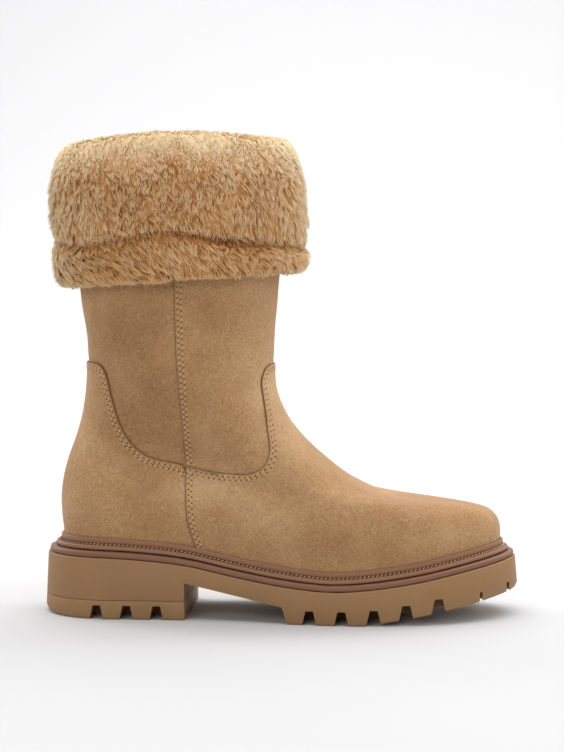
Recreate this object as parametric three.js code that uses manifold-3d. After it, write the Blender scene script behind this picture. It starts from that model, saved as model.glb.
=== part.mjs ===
// Sheepskin ankle boot for the right foot, with a turned-down fur cuff and a lug sole.
// Millimetres. +X runs from heel to toe, +Y to the inner side of the foot, +Z up.
// The origin is on the floor, under the middle of the sole.
import * as THREE from "three";
import { mergeVertices } from "three/addons/utils/BufferGeometryUtils.js";
import Module from "manifold-3d";

const wasm = await Module();
wasm.setup();

// The last that the boot is pulled over
const LAST_LENGTH = 258;
const BALL_WIDTH = 79;
const HEEL_WIDTH = 54;
const HEEL_SEAT = 46.5; // height of the welt's top edge at the heel
const BALL_SEAT = 29.5; // and at the ball of the foot
const TOE_SEAT = 43.5; // and at the toe
const ANKLE_HEIGHT = 150; // top of the vamp and counter
const COLLAR_HEIGHT = 268; // top edge of the shaft, inside the turned cuff
const SHAFT_DEPTH = 111.4;
const SHAFT_WIDTH = 98;
const SHAFT_SETBACK = 69; // from the heel point to the shaft's axis
const HEEL_ROUND = 30; // length of the outline's round end at the heel
const SWELL = 0.07; // share by which the side bulges over the welt
const SWELL_HEIGHT = 42;

// Leather and the gaps between pieces
const GAP = 0.3;
const WALL = 2.4;
const LAP_STEP = 0.6; // front panels lie on the back ones by this much
const OVERLAY = 1.2; // thickness of vamp and counter

// The stack under the upper
const WELT_HEIGHT = 7;
const MIDSOLE_THICKNESS = 3.4;
const MIDSOLE_EDGE = 10.2; // how far each edge stands out from the last
const SOLE_TOP_EDGE = 11.2;
const SOLE_EDGE = 12.6;
const EDGE_BREAK = 0.5;
const TREAD_BREAK = 1.6;
const INSOLE_THICKNESS = 5;
const SWING = 79; // width that the sideways swing of the outline follows

// Heel, arch and tread
const HEEL_BREAST = -54;
const LIFT_HEIGHT = 11.2;
const HEEL_ROCKER = 2.6;
const HEEL_ROCKER_LENGTH = 14;
const ARCH_BACK = 21.7; // height of the underside at the heel breast
const ARCH_FRONT = 9.6; // and where the forefoot tread starts
const TREAD_START = 4;
const TREAD_SLOPE = 3; // how far the first lug's back face leans
const ROCKER_START = 48; // the forefoot is flat up to here
const TOE_LIFT = 16.5; // height of the tread at the tip
const ROCKER_POWER = 1.25;
const NOTCH_HEIGHT = 8;
const NOTCH_TOP = 4.6;
const NOTCH_FOOT = 8.2;
const NOTCH_REACH = 23; // how far a notch runs in from the sole's edge
const NOTCH_FIRST = 20;
const NOTCH_PITCH = 18.7;
const NOTCH_COUNT = 5;
const HEEL_NOTCH_FIRST = -106;
const HEEL_NOTCH_PITCH = 17.8;
const HEEL_NOTCH_COUNT = 3;
const HEEL_NOTCH_REACH = 19;
const BAR_SLOT = 5;
const BAR_HEIGHT = 5;
const BAR_REACH = 13; // half length of the slots across the middle of the tread
const SIPE_WIDTH = 1.5;
const SIPE_HEIGHT = 5.4;
// The short slots in the toe's rim. x: place. inner: where they end, from the middle line.
const SIPES = [
  { x: 119.5, inner: 26 },
  { x: 135.5, inner: 12.5 },
];

// The fur cuff
const CUFF_BACK = 195; // height of the hem at the heel side
const CUFF_FRONT = 203.5;
const CUFF_HEIGHT = 82.6;
const CUFF_CROWN = 4.6; // the top edge stands higher at the sides by this much
const FUR_OUT = 13.4;
const FUR_IN = 9;
const FRONT_SWELL = 0.26; // share by which the fur at the front is thicker at its hem
const FRONT_TAPER = 0.07; // share by which it thins towards the top
const LOCK_ROWS = 4;
const LOCKS_AROUND = 15;
const LOCK_LENGTH = 18;
const LOCK_RADIUS = 8;
const LOCK_SINK = 4.2;
const LOCK_DROP = 1.9; // downward lean of a lock for each unit outward

// How finely the forms are divided
const UPPER_SIDES = 18; // divisions from heel to toe on each side
const UPPER_RINGS = 15;
const SOLE_SIDES = 32;
const WELT_SIDES = 26;

const HEEL_X = -LAST_LENGTH / 2;
const TOE_X = LAST_LENGTH / 2;
const SHAFT_X = HEEL_X + SHAFT_SETBACK;
const MIDSOLE_TOP = -WELT_HEIGHT;
const SOLE_TOP = MIDSOLE_TOP - MIDSOLE_THICKNESS - GAP;
const COUNTER_FACE = GAP + OVERLAY;
const VAMP_FACE = LAP_STEP + GAP + OVERLAY;
const SPAN = 1.5 * BALL_WIDTH; // half width of the cutting slabs

// Plan of the last. at: share of its length. centre: share of SWING. heel, ball: shares of the half widths.
const PLAN = [
  { at: 0, centre: 0, heel: 0.98, ball: 0 },
  { at: 0.13, centre: 0, heel: 1, ball: 0 },
  { at: 0.29, centre: -0.006, heel: 1, ball: 0 },
  { at: 0.42, centre: -0.024, heel: 0.62, ball: 0.33 },
  { at: 0.54, centre: -0.028, heel: 0.18, ball: 0.75 },
  { at: 0.645, centre: -0.016, heel: 0, ball: 0.985 },
  { at: 0.735, centre: 0.002, heel: 0, ball: 1 },
  { at: 0.83, centre: 0.022, heel: 0, ball: 0.93 },
  { at: 0.91, centre: 0.042, heel: 0, ball: 0.83 },
  { at: 1, centre: 0.07, heel: 0, ball: 0.72 },
];

// Seat line, the height at which upper and welt meet. heel, toe: shares of their rise over the ball.
const SEAT = [
  { at: 0, heel: 1, toe: 0 },
  { at: 0.11, heel: 0.985, toe: 0 },
  { at: 0.18, heel: 0.93, toe: 0 },
  { at: 0.29, heel: 0.76, toe: 0 },
  { at: 0.4, heel: 0.43, toe: 0 },
  { at: 0.5, heel: 0.17, toe: 0 },
  { at: 0.62, heel: 0, toe: 0 },
  { at: 0.72, heel: 0, toe: 0.12 },
  { at: 0.82, heel: 0, toe: 0.38 },
  { at: 0.91, heel: 0, toe: 0.7 },
  { at: 1, heel: 0, toe: 1 },
];

// Rings of the foot, from the seat line up. back, front: shares of the last's length.
// backUp, frontUp: shares of the rise to the ankle. round: share of the ring that its round front takes.
// seat: how much of the seat line's curve the ring keeps. shaft: how far it has become the shaft.
const FOOT_RINGS = [
  { back: 0, backUp: 0, front: 1, frontUp: 0, round: 0.178, seat: 1, shaft: 0 },
  { back: -0.005, backUp: 0.11, front: 1.0008, frontUp: 0.06, round: 0.18, seat: 0.88, shaft: 0 },
  { back: -0.0065, backUp: 0.22, front: 0.994, frontUp: 0.122, round: 0.2, seat: 0.72, shaft: 0 },
  { back: -0.001, backUp: 0.33, front: 0.97, frontUp: 0.172, round: 0.245, seat: 0.54, shaft: 0 },
  { back: 0.0095, backUp: 0.43, front: 0.908, frontUp: 0.208, round: 0.305, seat: 0.36, shaft: 0 },
  { back: 0.0225, backUp: 0.52, front: 0.826, frontUp: 0.222, round: 0.355, seat: 0.2, shaft: 0.02 },
  { back: 0.034, backUp: 0.605, front: 0.742, frontUp: 0.253, round: 0.39, seat: 0.08, shaft: 0.09 },
  { back: 0.043, backUp: 0.69, front: 0.663, frontUp: 0.338, round: 0.41, seat: 0.02, shaft: 0.22 },
  { back: 0.049, backUp: 0.775, front: 0.6, frontUp: 0.447, round: 0.43, seat: 0, shaft: 0.4 },
  { back: 0.053, backUp: 0.865, front: 0.543, frontUp: 0.575, round: 0.45, seat: 0, shaft: 0.61 },
  { back: 0.0545, backUp: 0.96, front: 0.505, frontUp: 0.705, round: 0.47, seat: 0, shaft: 0.84 },
  { back: 0.0525, backUp: 1.06, front: 0.4806, frontUp: 0.876, round: 0.5, seat: 0, shaft: 1 },
];

// Rings of the shaft. up: share of the rise from ankle to collar. back, front: shares of the shaft's depth.
// half: share of its width.
const SHAFT_RINGS = [
  { up: 0.14, back: 0.503, front: 0.499, half: 0.94 },
  { up: 0.33, back: 0.535, front: 0.515, half: 0.97 },
  { up: 0.6, back: 0.551, front: 0.534, half: 1 },
  { up: 1, back: 0.556, front: 0.52, half: 1 },
];
const ANKLE_HALF = 0.93;

// Edges of the panels, seen from the side. along: share of the last's length. up: share of ANKLE_HEIGHT.
const SIDE_SEAM = [
  { along: 0.272, up: 1.9 },
  { along: 0.276, up: 1.15 },
  { along: 0.281, up: 0.94 },
  { along: 0.287, up: 0.74 },
  { along: 0.2907, up: 0.601 },
  { along: 0.294, up: 0.41 },
  { along: 0.313, up: 0.285 },
  { along: 0.345, up: 0.15 },
];
const COUNTER_EDGE = [
  { along: -0.1, up: 0.992 },
  { along: 0.07, up: 0.998 },
  { along: 0.094, up: 0.992 },
  { along: 0.109, up: 0.955 },
  { along: 0.12, up: 0.88 },
  { along: 0.139, up: 0.774 },
  { along: 0.165, up: 0.692 },
  { along: 0.208, up: 0.632 },
  { along: 0.2907, up: 0.601 },
];
const VAMP_EDGE = [
  { along: 0.2907, up: 0.601 },
  { along: 0.35, up: 0.579 },
  { along: 0.42, up: 0.571 },
  { along: 0.455, up: 0.583 },
  { along: 0.477, up: 0.615 },
  { along: 0.483, up: 0.667 },
  { along: 0.476, up: 0.74 },
  { along: 0.4605, up: 0.871 },
  { along: 0.457, up: 0.925 },
  { along: 0.464, up: 0.973 },
  { along: 0.48, up: 0.993 },
  { along: 0.6, up: 0.985 },
];

// Profile of the welt. out: from the upper's face. up: from the seat line.
const WELT_PROFILE = [
  { out: 0, up: -WELT_HEIGHT + GAP },
  { out: 4.3, up: -WELT_HEIGHT + GAP },
  { out: 4.6, up: -5.5 },
  { out: 4.2, up: -4.3 },
  { out: 3.2, up: -3.8 },
  { out: 1.9, up: -4 },
  { out: 1.2, up: -3.2 },
  { out: 1.6, up: -2.3 },
  { out: 1.5, up: -0.3 },
  { out: 0.9, up: 0.3 },
  { out: 0, up: 0.3 },
];

// Profile of the cuff. out: share of FUR_OUT from the shaft's face, or below 0 of FUR_IN inside it.
// up: share of the cuff's height.
const CUFF_PROFILE = [
  { out: 0.35, up: 0.015 },
  { out: 0.68, up: 0 },
  { out: 0.93, up: 0.05 },
  { out: 1, up: 0.15 },
  { out: 0.96, up: 0.25 },
  { out: 0.82, up: 0.305 },
  { out: 0.98, up: 0.36 },
  { out: 1.06, up: 0.5 },
  { out: 1.08, up: 0.68 },
  { out: 0.97, up: 0.81 },
  { out: 0.7, up: 0.935 },
  { out: 0.3, up: 1 },
];
const MOUTH_PROFILE = [
  { out: -0.3, up: 0.985 },
  { out: -0.8, up: 0.91 },
  { out: -1, up: 0.76 },
  { out: -0.95, up: 0.5 },
];

const clamp = THREE.MathUtils.clamp;
const lerp = THREE.MathUtils.lerp;

// A smooth curve through one column of a table, read against its first column and straight beyond both ends.
function column(rows, key, against = "at") {
  const at = rows.map((row) => row[against]);
  const value = rows.map((row) => row[key]);
  const last = at.length - 1;
  const slope = at.map((_, i) => {
    const a = Math.max(0, i - 1);
    const b = Math.min(last, i + 1);
    return (value[b] - value[a]) / (at[b] - at[a]);
  });
  return (t) => {
    if (t <= at[0]) return value[0] + slope[0] * (t - at[0]);
    if (t >= at[last]) return value[last] + slope[last] * (t - at[last]);
    let i = 0;
    while (t > at[i + 1]) i += 1;
    const span = at[i + 1] - at[i];
    const u = (t - at[i]) / span;
    const rest = 1 - u;
    return (
      value[i] * (1 + 2 * u) * rest * rest +
      slope[i] * span * u * rest * rest +
      value[i + 1] * (3 - 2 * u) * u * u -
      slope[i + 1] * span * rest * u * u
    );
  };
}

// From 0 at an end to 1 where its round stretch is over.
function roundEnd(distance, length, fullness) {
  const near = 1 - clamp(distance / length, 0, 1);
  return (1 - near ** fullness) ** (1 / fullness);
}

const alongLast = (x) => (x - HEEL_X) / LAST_LENGTH;
const planCentre = column(PLAN, "centre");
const planHeel = column(PLAN, "heel");
const planBall = column(PLAN, "ball");
const seatHeel = column(SEAT, "heel");
const seatToe = column(SEAT, "toe");

const centreLine = (x) => planCentre(alongLast(x)) * SWING;
const halfWidth = (x) => (planHeel(alongLast(x)) * HEEL_WIDTH + planBall(alongLast(x)) * BALL_WIDTH) / 2;
const HEEL_RISE = HEEL_SEAT - BALL_SEAT;
const TOE_RISE = TOE_SEAT - BALL_SEAT;
const seatLine = (x) => BALL_SEAT + seatHeel(alongLast(x)) * HEEL_RISE + seatToe(alongLast(x)) * TOE_RISE;

// Every ring as the places of its back and front points, evenly numbered from 0 to 1.
const ringRows = [
  ...FOOT_RINGS.map((row) => ({
    backX: HEEL_X + row.back * LAST_LENGTH,
    backZ: lerp(HEEL_SEAT, ANKLE_HEIGHT, row.backUp),
    frontX: HEEL_X + row.front * LAST_LENGTH,
    frontZ: lerp(TOE_SEAT, ANKLE_HEIGHT, row.frontUp),
    round: row.round,
    seat: row.seat,
    shaft: row.shaft,
    half: (ANKLE_HALF * SHAFT_WIDTH) / 2,
  })),
  ...SHAFT_RINGS.map((row) => ({
    backX: SHAFT_X - row.back * SHAFT_DEPTH,
    backZ: lerp(ANKLE_HEIGHT, COLLAR_HEIGHT, row.up),
    frontX: SHAFT_X + row.front * SHAFT_DEPTH,
    frontZ: lerp(ANKLE_HEIGHT, COLLAR_HEIGHT, row.up),
    round: 0.5,
    seat: 0,
    shaft: 1,
    half: (row.half * SHAFT_WIDTH) / 2,
  })),
].map((row, i, all) => ({ at: i / (all.length - 1), ...row }));
const ring = Object.fromEntries(Object.keys(ringRows[0]).map((key) => [key, column(ringRows, key)]));

// A point of the upper's base face: v from the seat line to the collar, c from back to front,
// side -1 on the outer side of the foot and 1 on the inner.
const END_FULLNESS = 2.05;
function facePoint(v, c, side) {
  const shaft = clamp(ring.shaft(v), 0, 1);
  const back = new THREE.Vector2(ring.backX(v), ring.backZ(v));
  const front = new THREE.Vector2(ring.frontX(v), ring.frontZ(v));
  const chord = front.distanceTo(back);
  const x = lerp(back.x, front.x, c);
  const straight = lerp(HEEL_SEAT, TOE_SEAT, alongLast(x));
  const z = lerp(back.y, front.y, c) + clamp(ring.seat(v), 0, 1) * (seatLine(x) - straight);
  const centre = centreLine(x) * (1 - shaft);
  const fullness = lerp(END_FULLNESS, 2, shaft);
  const toe = roundEnd(chord * (1 - c), chord * ring.round(v), fullness);
  const heel = roundEnd(chord * c, lerp(HEEL_ROUND, chord / 2, shaft), fullness);
  const swell = 1 + SWELL * Math.sin(Math.PI * clamp((z - seatLine(x)) / SWELL_HEIGHT, 0, 1));
  const half = lerp(halfWidth(x) * swell, ring.half(v), shaft);
  return new THREE.Vector3(x, centre + side * half * heel * toe, z);
}

// The places around a ring: from the back along the outer side to the front, and home along the inner side.
function around(sides) {
  const share = (i) => (1 - Math.cos((Math.PI * i) / sides)) / 2;
  return Array.from({ length: 2 * sides }, (_, i) =>
    i <= sides ? { c: share(i), side: -1 } : { c: share(2 * sides - i), side: 1 },
  );
}

// A grid of points on the base face with the way out at each, up to a ring.
// Below the seat line it drops plumb.
const TUCK = WELT_HEIGHT - GAP;
function faceGrid(rings) {
  const places = around(UPPER_SIDES);
  const rows = Array.from({ length: rings + 1 }, (_, k) =>
    places.map(({ c, side }) => facePoint(k / UPPER_RINGS, c, side)),
  );
  rows.unshift(rows[0].map((p) => new THREE.Vector3(p.x, p.y, p.z - TUCK)));
  const count = places.length;
  return rows.map((row, k) =>
    row.map((point, i) => {
      const before = row[(i + count - 1) % count];
      const after = row[(i + 1) % count];
      const below = rows[Math.max(0, k - 1)][i];
      const above = rows[Math.min(rows.length - 1, k + 1)][i];
      const out = after.clone().sub(before).cross(above.clone().sub(below)).normalize();
      return { point, out };
    }),
  );
}

// The grid's points moved out by a distance, with the lowest row kept level with the top of the midsole.
function pushed(grid, distance) {
  return grid.map((row, k) =>
    row.map(({ point, out }) => {
      const moved = point.clone().addScaledVector(out, distance);
      if (k === 0) moved.z = seatLine(moved.x) - TUCK;
      return moved;
    }),
  );
}

// A closed mesh through rings of points.
// A ring solid closes on its first ring, and a plate is capped at both ends.
// Each four-sided facet folds along its shorter diagonal, so that pieces lying on each other fold alike.
function loft(rings, capped) {
  const count = rings[0].length;
  const points = rings.flat();
  const positions = points.flatMap((p) => [p.x, p.y, p.z]);
  const index = [];
  const bands = capped ? rings.length - 1 : rings.length;
  for (let k = 0; k < bands; k += 1) {
    const low = k * count;
    const high = ((k + 1) % rings.length) * count;
    for (let i = 0; i < count; i += 1) {
      const j = (i + 1) % count;
      const [a, b, c, d] = [low + i, low + j, high + j, high + i];
      const rising = points[a].distanceTo(points[c]) < points[b].distanceTo(points[d]);
      index.push(...(rising ? [a, b, c, a, c, d] : [a, b, d, b, c, d]));
    }
  }
  const cap = (base, up) => {
    for (let i = 0; i < count / 2; i += 1) {
      const [a, b] = [base + i, base + i + 1];
      const [c, d] = [base + ((count - i - 1) % count), base + ((count - i) % count)];
      if (b !== c) index.push(...(up ? [a, b, c] : [a, c, b]));
      if (a !== d) index.push(...(up ? [a, c, d] : [a, d, c]));
    }
  };
  if (capped) {
    cap(0, false);
    cap((rings.length - 1) * count, true);
  }
  const geometry = new THREE.BufferGeometry();
  geometry.setAttribute("position", new THREE.Float32BufferAttribute(positions, 3));
  geometry.setIndex(index);
  return geometry;
}

function solidOf(geometry) {
  const bare = geometry.clone();
  bare.deleteAttribute("normal");
  bare.deleteAttribute("uv");
  const merged = mergeVertices(bare, 1e-4);
  return new wasm.Manifold(
    new wasm.Mesh({
      numProp: 3,
      vertProperties: new Float32Array(merged.attributes.position.array),
      triVerts: new Uint32Array(merged.index.array),
    }),
  );
}

function meshOf(name, solid, material) {
  const { numProp, numVert, vertProperties, triVerts } = solid.getMesh();
  const positions = new Float32Array(numVert * 3);
  for (let i = 0; i < numVert; i += 1) {
    positions.set(vertProperties.subarray(i * numProp, i * numProp + 3), i * 3);
  }
  const geometry = new THREE.BufferGeometry();
  geometry.setAttribute("position", new THREE.BufferAttribute(positions, 3));
  geometry.setIndex(new THREE.BufferAttribute(new Uint32Array(triVerts), 1));
  geometry.computeVertexNormals();
  const mesh = new THREE.Mesh(geometry, material);
  mesh.name = name;
  return mesh;
}

// A slab of an outline drawn in side view, right through the boot or between two given places.
function slab(outline, from = -SPAN, to = SPAN) {
  const shape = new THREE.Shape(outline.map(([x, z]) => new THREE.Vector2(x, z)));
  const geometry = new THREE.ExtrudeGeometry(shape, { depth: to - from, bevelEnabled: false });
  geometry.rotateX(Math.PI / 2);
  geometry.translate(0, to, 0);
  return solidOf(geometry);
}

const PANEL_STEPS = 4;
function panelEdge(rows, shift = 0) {
  const points = rows.map(
    ({ along, up }) => new THREE.Vector2(HEEL_X + along * LAST_LENGTH + shift, up * ANKLE_HEIGHT),
  );
  return new THREE.SplineCurve(points).getPoints((rows.length - 1) * PANEL_STEPS).map((p) => [p.x, p.y]);
}

// Upper, with the front panels lapped over the back ones
const LAP_ROOT = WALL / 2;
const upperGrid = faceGrid(UPPER_RINGS);
function shell(grid, inner, outer) {
  return solidOf(loft([...pushed(grid, outer), ...pushed(grid, inner).reverse()], false));
}
const FAR = 400;
const seamDown = panelEdge(SIDE_SEAM);
const frontSlab = slab([...seamDown, [FAR, seamDown.at(-1)[1] - FAR], [FAR, FAR]]);
const upper = shell(upperGrid, -WALL, 0).add(shell(upperGrid, -LAP_ROOT, LAP_STEP).intersect(frontSlab));

// Vamp and counter, cut from a shell just outside the upper
const overlayGrid = faceGrid(UPPER_RINGS - 3);
const lowerSeam = (shift) => panelEdge(SIDE_SEAM.slice(4), shift);
const vampSlab = slab([
  ...panelEdge(VAMP_EDGE).reverse(),
  ...lowerSeam(0).slice(1),
  [FAR, 0],
  [FAR, ANKLE_HEIGHT],
]);
const counterSlab = slab([
  ...panelEdge(COUNTER_EDGE, -GAP),
  ...lowerSeam(-GAP).slice(1),
  [-FAR, 0],
  [-FAR, ANKLE_HEIGHT],
]);
const vamp = shell(overlayGrid, LAP_STEP + GAP, VAMP_FACE).intersect(vampSlab);
const counter = shell(overlayGrid, GAP, COUNTER_FACE).intersect(counterSlab);

// A ring that stands out from the last's plan, at a height read from where it then lies
function planRing(sides, outAt, heightAt) {
  const plan = around(sides).map(({ c, side }) => facePoint(0, c, side));
  const count = plan.length;
  return plan.map((point, i) => {
    const before = plan[(i + count - 1) % count];
    const after = plan[(i + 1) % count];
    const way = new THREE.Vector2(after.y - before.y, before.x - after.x).normalize();
    const out = outAt(point.x);
    const x = point.x + way.x * out;
    return new THREE.Vector3(x, point.y + way.y * out, heightAt(x));
  });
}
const plate = (sides, rows) =>
  solidOf(loft(rows.map(({ out, at }) => planRing(sides, () => out, at)), true));
const overSeat = (up) => (x) => seatLine(x) + up;

// Welt, hugging the counter behind the side seam and the thicker vamp in front of it
const seamFoot = HEEL_X + 0.28 * LAST_LENGTH;
const SEAM_BLEND = 12;
const pastSeam = (x) => THREE.MathUtils.smoothstep(x, seamFoot - SEAM_BLEND, seamFoot);
const weltRoot = (x) => lerp(COUNTER_FACE, VAMP_FACE, pastSeam(x)) + 2 * GAP;
const welt = solidOf(
  loft(
    WELT_PROFILE.map(({ out, up }) => planRing(WELT_SIDES, (x) => weltRoot(x) + out, overSeat(up))),
    false,
  ),
);

const midsole = plate(WELT_SIDES, [
  { out: MIDSOLE_EDGE - EDGE_BREAK, at: overSeat(MIDSOLE_TOP - MIDSOLE_THICKNESS) },
  { out: MIDSOLE_EDGE, at: overSeat(MIDSOLE_TOP - MIDSOLE_THICKNESS + EDGE_BREAK) },
  { out: MIDSOLE_EDGE, at: overSeat(MIDSOLE_TOP - 2 * EDGE_BREAK) },
  { out: MIDSOLE_EDGE - 2 * EDGE_BREAK, at: overSeat(MIDSOLE_TOP) },
]);

const INSOLE_EDGE = -WALL - 2 * GAP;
const insole = plate(UPPER_SIDES, [
  { out: INSOLE_EDGE, at: overSeat(MIDSOLE_TOP + GAP) },
  { out: INSOLE_EDGE, at: overSeat(MIDSOLE_TOP + GAP + INSOLE_THICKNESS) },
]);

// Underside of the sole before the tread is cut: flat, with a rocker at the toe
// and a break at the back of the heel
function floorLine(x) {
  const toe = clamp((x - ROCKER_START) / (TOE_X + SOLE_EDGE - ROCKER_START), 0, 1);
  const heel = clamp((HEEL_X - SOLE_EDGE + HEEL_ROCKER_LENGTH - x) / HEEL_ROCKER_LENGTH, 0, 1);
  return TOE_LIFT * toe ** ROCKER_POWER + HEEL_ROCKER * heel ** 2;
}
const soleBlock = plate(SOLE_SIDES, [
  { out: SOLE_EDGE - TREAD_BREAK / 2, at: floorLine },
  { out: SOLE_EDGE, at: (x) => floorLine(x) + TREAD_BREAK },
  { out: SOLE_TOP_EDGE, at: overSeat(SOLE_TOP - EDGE_BREAK) },
  { out: SOLE_TOP_EDGE - EDGE_BREAK, at: overSeat(SOLE_TOP) },
]);

// Void under the arch, from the heel breast to the sloping back of the first lug
const BELOW = -5;
const archVoid = slab([
  [HEEL_BREAST, BELOW],
  [TREAD_START + TREAD_SLOPE, BELOW],
  [TREAD_START + TREAD_SLOPE, 0],
  [TREAD_START, ARCH_FRONT],
  [HEEL_BREAST, ARCH_BACK],
]);

// A notch that tapers upward, cut in from one edge of the sole
function notch(x, side, reach, height) {
  const foot = floorLine(x);
  const edge = centreLine(x) + side * (halfWidth(x) + SOLE_EDGE);
  const ends = side < 0 ? [-SPAN, edge + reach] : [edge - reach, SPAN];
  const lean = (NOTCH_FOOT - NOTCH_TOP) / (2 * height);
  const low = NOTCH_FOOT / 2 - lean * BELOW;
  return slab(
    [
      [x - low, foot + BELOW],
      [x + low, foot + BELOW],
      [x + NOTCH_TOP / 2, foot + height],
      [x - NOTCH_TOP / 2, foot + height],
    ],
    ...ends,
  );
}
const bar = (x, width, height, ...ends) =>
  slab(
    [
      [x - width / 2, BELOW],
      [x + width / 2, BELOW],
      [x + width / 2, floorLine(x) + height],
      [x - width / 2, floorLine(x) + height],
    ],
    ...ends,
  );
const series = (first, pitch, count) => Array.from({ length: count }, (_, i) => first + i * pitch);
const forefootCuts = series(NOTCH_FIRST, NOTCH_PITCH, NOTCH_COUNT).flatMap((x) => [
  notch(x, -1, NOTCH_REACH, NOTCH_HEIGHT),
  notch(x, 1, NOTCH_REACH, NOTCH_HEIGHT),
  bar(x + NOTCH_PITCH / 2, BAR_SLOT, BAR_HEIGHT, centreLine(x) - BAR_REACH, centreLine(x) + BAR_REACH),
]);
const sipes = SIPES.flatMap(({ x, inner }) => [
  bar(x, SIPE_WIDTH, SIPE_HEIGHT, -SPAN, centreLine(x) - inner),
  bar(x, SIPE_WIDTH, SIPE_HEIGHT, centreLine(x) + inner, SPAN),
]);
const liftCuts = series(HEEL_NOTCH_FIRST, HEEL_NOTCH_PITCH, HEEL_NOTCH_COUNT).flatMap((x) => [
  notch(x, -1, HEEL_NOTCH_REACH, NOTCH_HEIGHT),
  notch(x, 1, HEEL_NOTCH_REACH, NOTCH_HEIGHT),
]);

const cutAll = (solid, cuts) => cuts.reduce((left, cut) => left.subtract(cut), solid);
const heelEnd = HEEL_BREAST + GAP;
const heelSlab = (low, high) => slab([[-FAR, low], [heelEnd, low], [heelEnd, high], [-FAR, high]]);
const outsole = cutAll(soleBlock, [archVoid, heelSlab(BELOW, LIFT_HEIGHT), ...forefootCuts, ...sipes]);
const heelLift = cutAll(soleBlock.intersect(heelSlab(BELOW, LIFT_HEIGHT - GAP)), [archVoid, ...liftCuts]);

// Fur cuff: turned over the collar, with a crease above its rolled hem and locks fused on all round
const SHAFT_FACE = LAP_STEP + GAP;
const hemAt = (c) => lerp(CUFF_BACK, CUFF_FRONT, c);
const crownAt = (c) => CUFF_HEIGHT - (CUFF_FRONT - CUFF_BACK) * c * 0.6 + CUFF_CROWN * Math.sin(Math.PI * c);
const ringAtHeight = column(
  SHAFT_RINGS.map((row, i) => ({
    z: lerp(ANKLE_HEIGHT, COLLAR_HEIGHT, row.up),
    v: (FOOT_RINGS.length + i) / UPPER_RINGS,
  })),
  "v",
  "z",
);
const AROUND_STEP = 0.01;
function shaftPoint({ c, side }, z, out) {
  const v = clamp(ringAtHeight(z), 0, 1);
  const point = facePoint(v, c, side);
  const before = facePoint(v, Math.max(0, c - AROUND_STEP), side);
  const after = facePoint(v, Math.min(1, c + AROUND_STEP), side);
  const way = new THREE.Vector2(after.y - before.y, before.x - after.x).multiplyScalar(-side).normalize();
  if (c <= 0 || c >= 1) way.set(c <= 0 ? -1 : 1, 0);
  return new THREE.Vector3(point.x + way.x * out, point.y + way.y * out, z);
}
const cuffRing = (outAt, heightAt) =>
  around(UPPER_SIDES).map((place) => shaftPoint(place, heightAt(place.c), outAt(place.c)));
const furReach = (out, up, c) =>
  FUR_OUT * out * (1 + c * c * (FRONT_SWELL * (1 - up) ** 2 - FRONT_TAPER * up));
const furRing = ({ out, up }) =>
  cuffRing(
    (c) => (out < 0 ? FUR_IN * out - WALL - GAP : furReach(out, up, c) + SHAFT_FACE),
    (c) => hemAt(c) + up * crownAt(c),
  );
const inner = () => -WALL - GAP;
const outer = () => SHAFT_FACE;
const MOUTH_DEPTH = 0.48;
const HEM_TUCK = 2.5;
const cuffBody = solidOf(
  loft(
    [
      ...CUFF_PROFILE.map(furRing),
      ...MOUTH_PROFILE.map(furRing),
      cuffRing(inner, (c) => hemAt(c) + MOUTH_DEPTH * crownAt(c)),
      cuffRing(inner, () => COLLAR_HEIGHT + GAP),
      cuffRing(outer, () => COLLAR_HEIGHT + GAP),
      cuffRing(outer, () => lerp(ANKLE_HEIGHT, COLLAR_HEIGHT, SHAFT_RINGS.at(-2).up)),
      cuffRing(() => SHAFT_FACE + GAP, (c) => hemAt(c) + HEM_TUCK),
    ],
    false,
  ),
);

// One lock of fur: a tapered tuft that leans down, rooted in the cuff
const cuffOut = column(CUFF_PROFILE, "out", "up");
const LOCK_LOW = 0.12;
const LOCK_HIGH = 0.9;
const LOCK_SIDES = 4;
const scatter = (seed) => {
  const wave = Math.sin(seed * 12.9898) * 43758.5453;
  return 2 * (wave - Math.floor(wave)) - 1;
};
function lock(row, k) {
  const turn = (k + (row % 2) / 2 + 0.12 * scatter(row * 31 + k)) / LOCKS_AROUND;
  const side = turn < 0.5 ? -1 : 1;
  const c = (1 - Math.cos(2 * Math.PI * turn)) / 2;
  const up = lerp(LOCK_LOW, LOCK_HIGH, (row + 0.15 * scatter(row * 17 + k)) / (LOCK_ROWS - 1));
  const z = hemAt(c) + up * crownAt(c);
  const reach = furReach(cuffOut(clamp(up, 0.05, 0.9)), up, c);
  const face = shaftPoint({ c, side }, z, SHAFT_FACE + reach - LOCK_SINK);
  const wall = shaftPoint({ c, side }, z, 0);
  const way = face.clone().sub(wall).normalize();
  way.z = -LOCK_DROP + 0.25 * scatter(row * 13 + k * 7);
  const cone = new THREE.ConeGeometry(LOCK_RADIUS, LOCK_LENGTH, LOCK_SIDES);
  cone.translate(0, LOCK_LENGTH / 2, 0);
  const turned = new THREE.Quaternion().setFromUnitVectors(new THREE.Vector3(0, 1, 0), way.normalize());
  cone.applyQuaternion(turned);
  cone.translate(face.x, face.y, face.z);
  return solidOf(cone);
}
const locks = [];
for (let row = 0; row < LOCK_ROWS; row += 1) {
  for (let k = 0; k < LOCKS_AROUND; k += 1) locks.push(lock(row, k));
}
const cuff = locks.reduce((all, one) => all.add(one), cuffBody);

// Materials, with the colours of the real boot
const finish = (color, roughness) => new THREE.MeshStandardMaterial({ color, roughness, metalness: 0 });
const suede = finish(0xa98559, 0.95);
const fur = finish(0xc39c68, 1);
const brown = finish(0x7c583f, 0.6);
const rubber = finish(0x957049, 0.7);
const fleece = finish(0xd2b183, 1);

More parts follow.
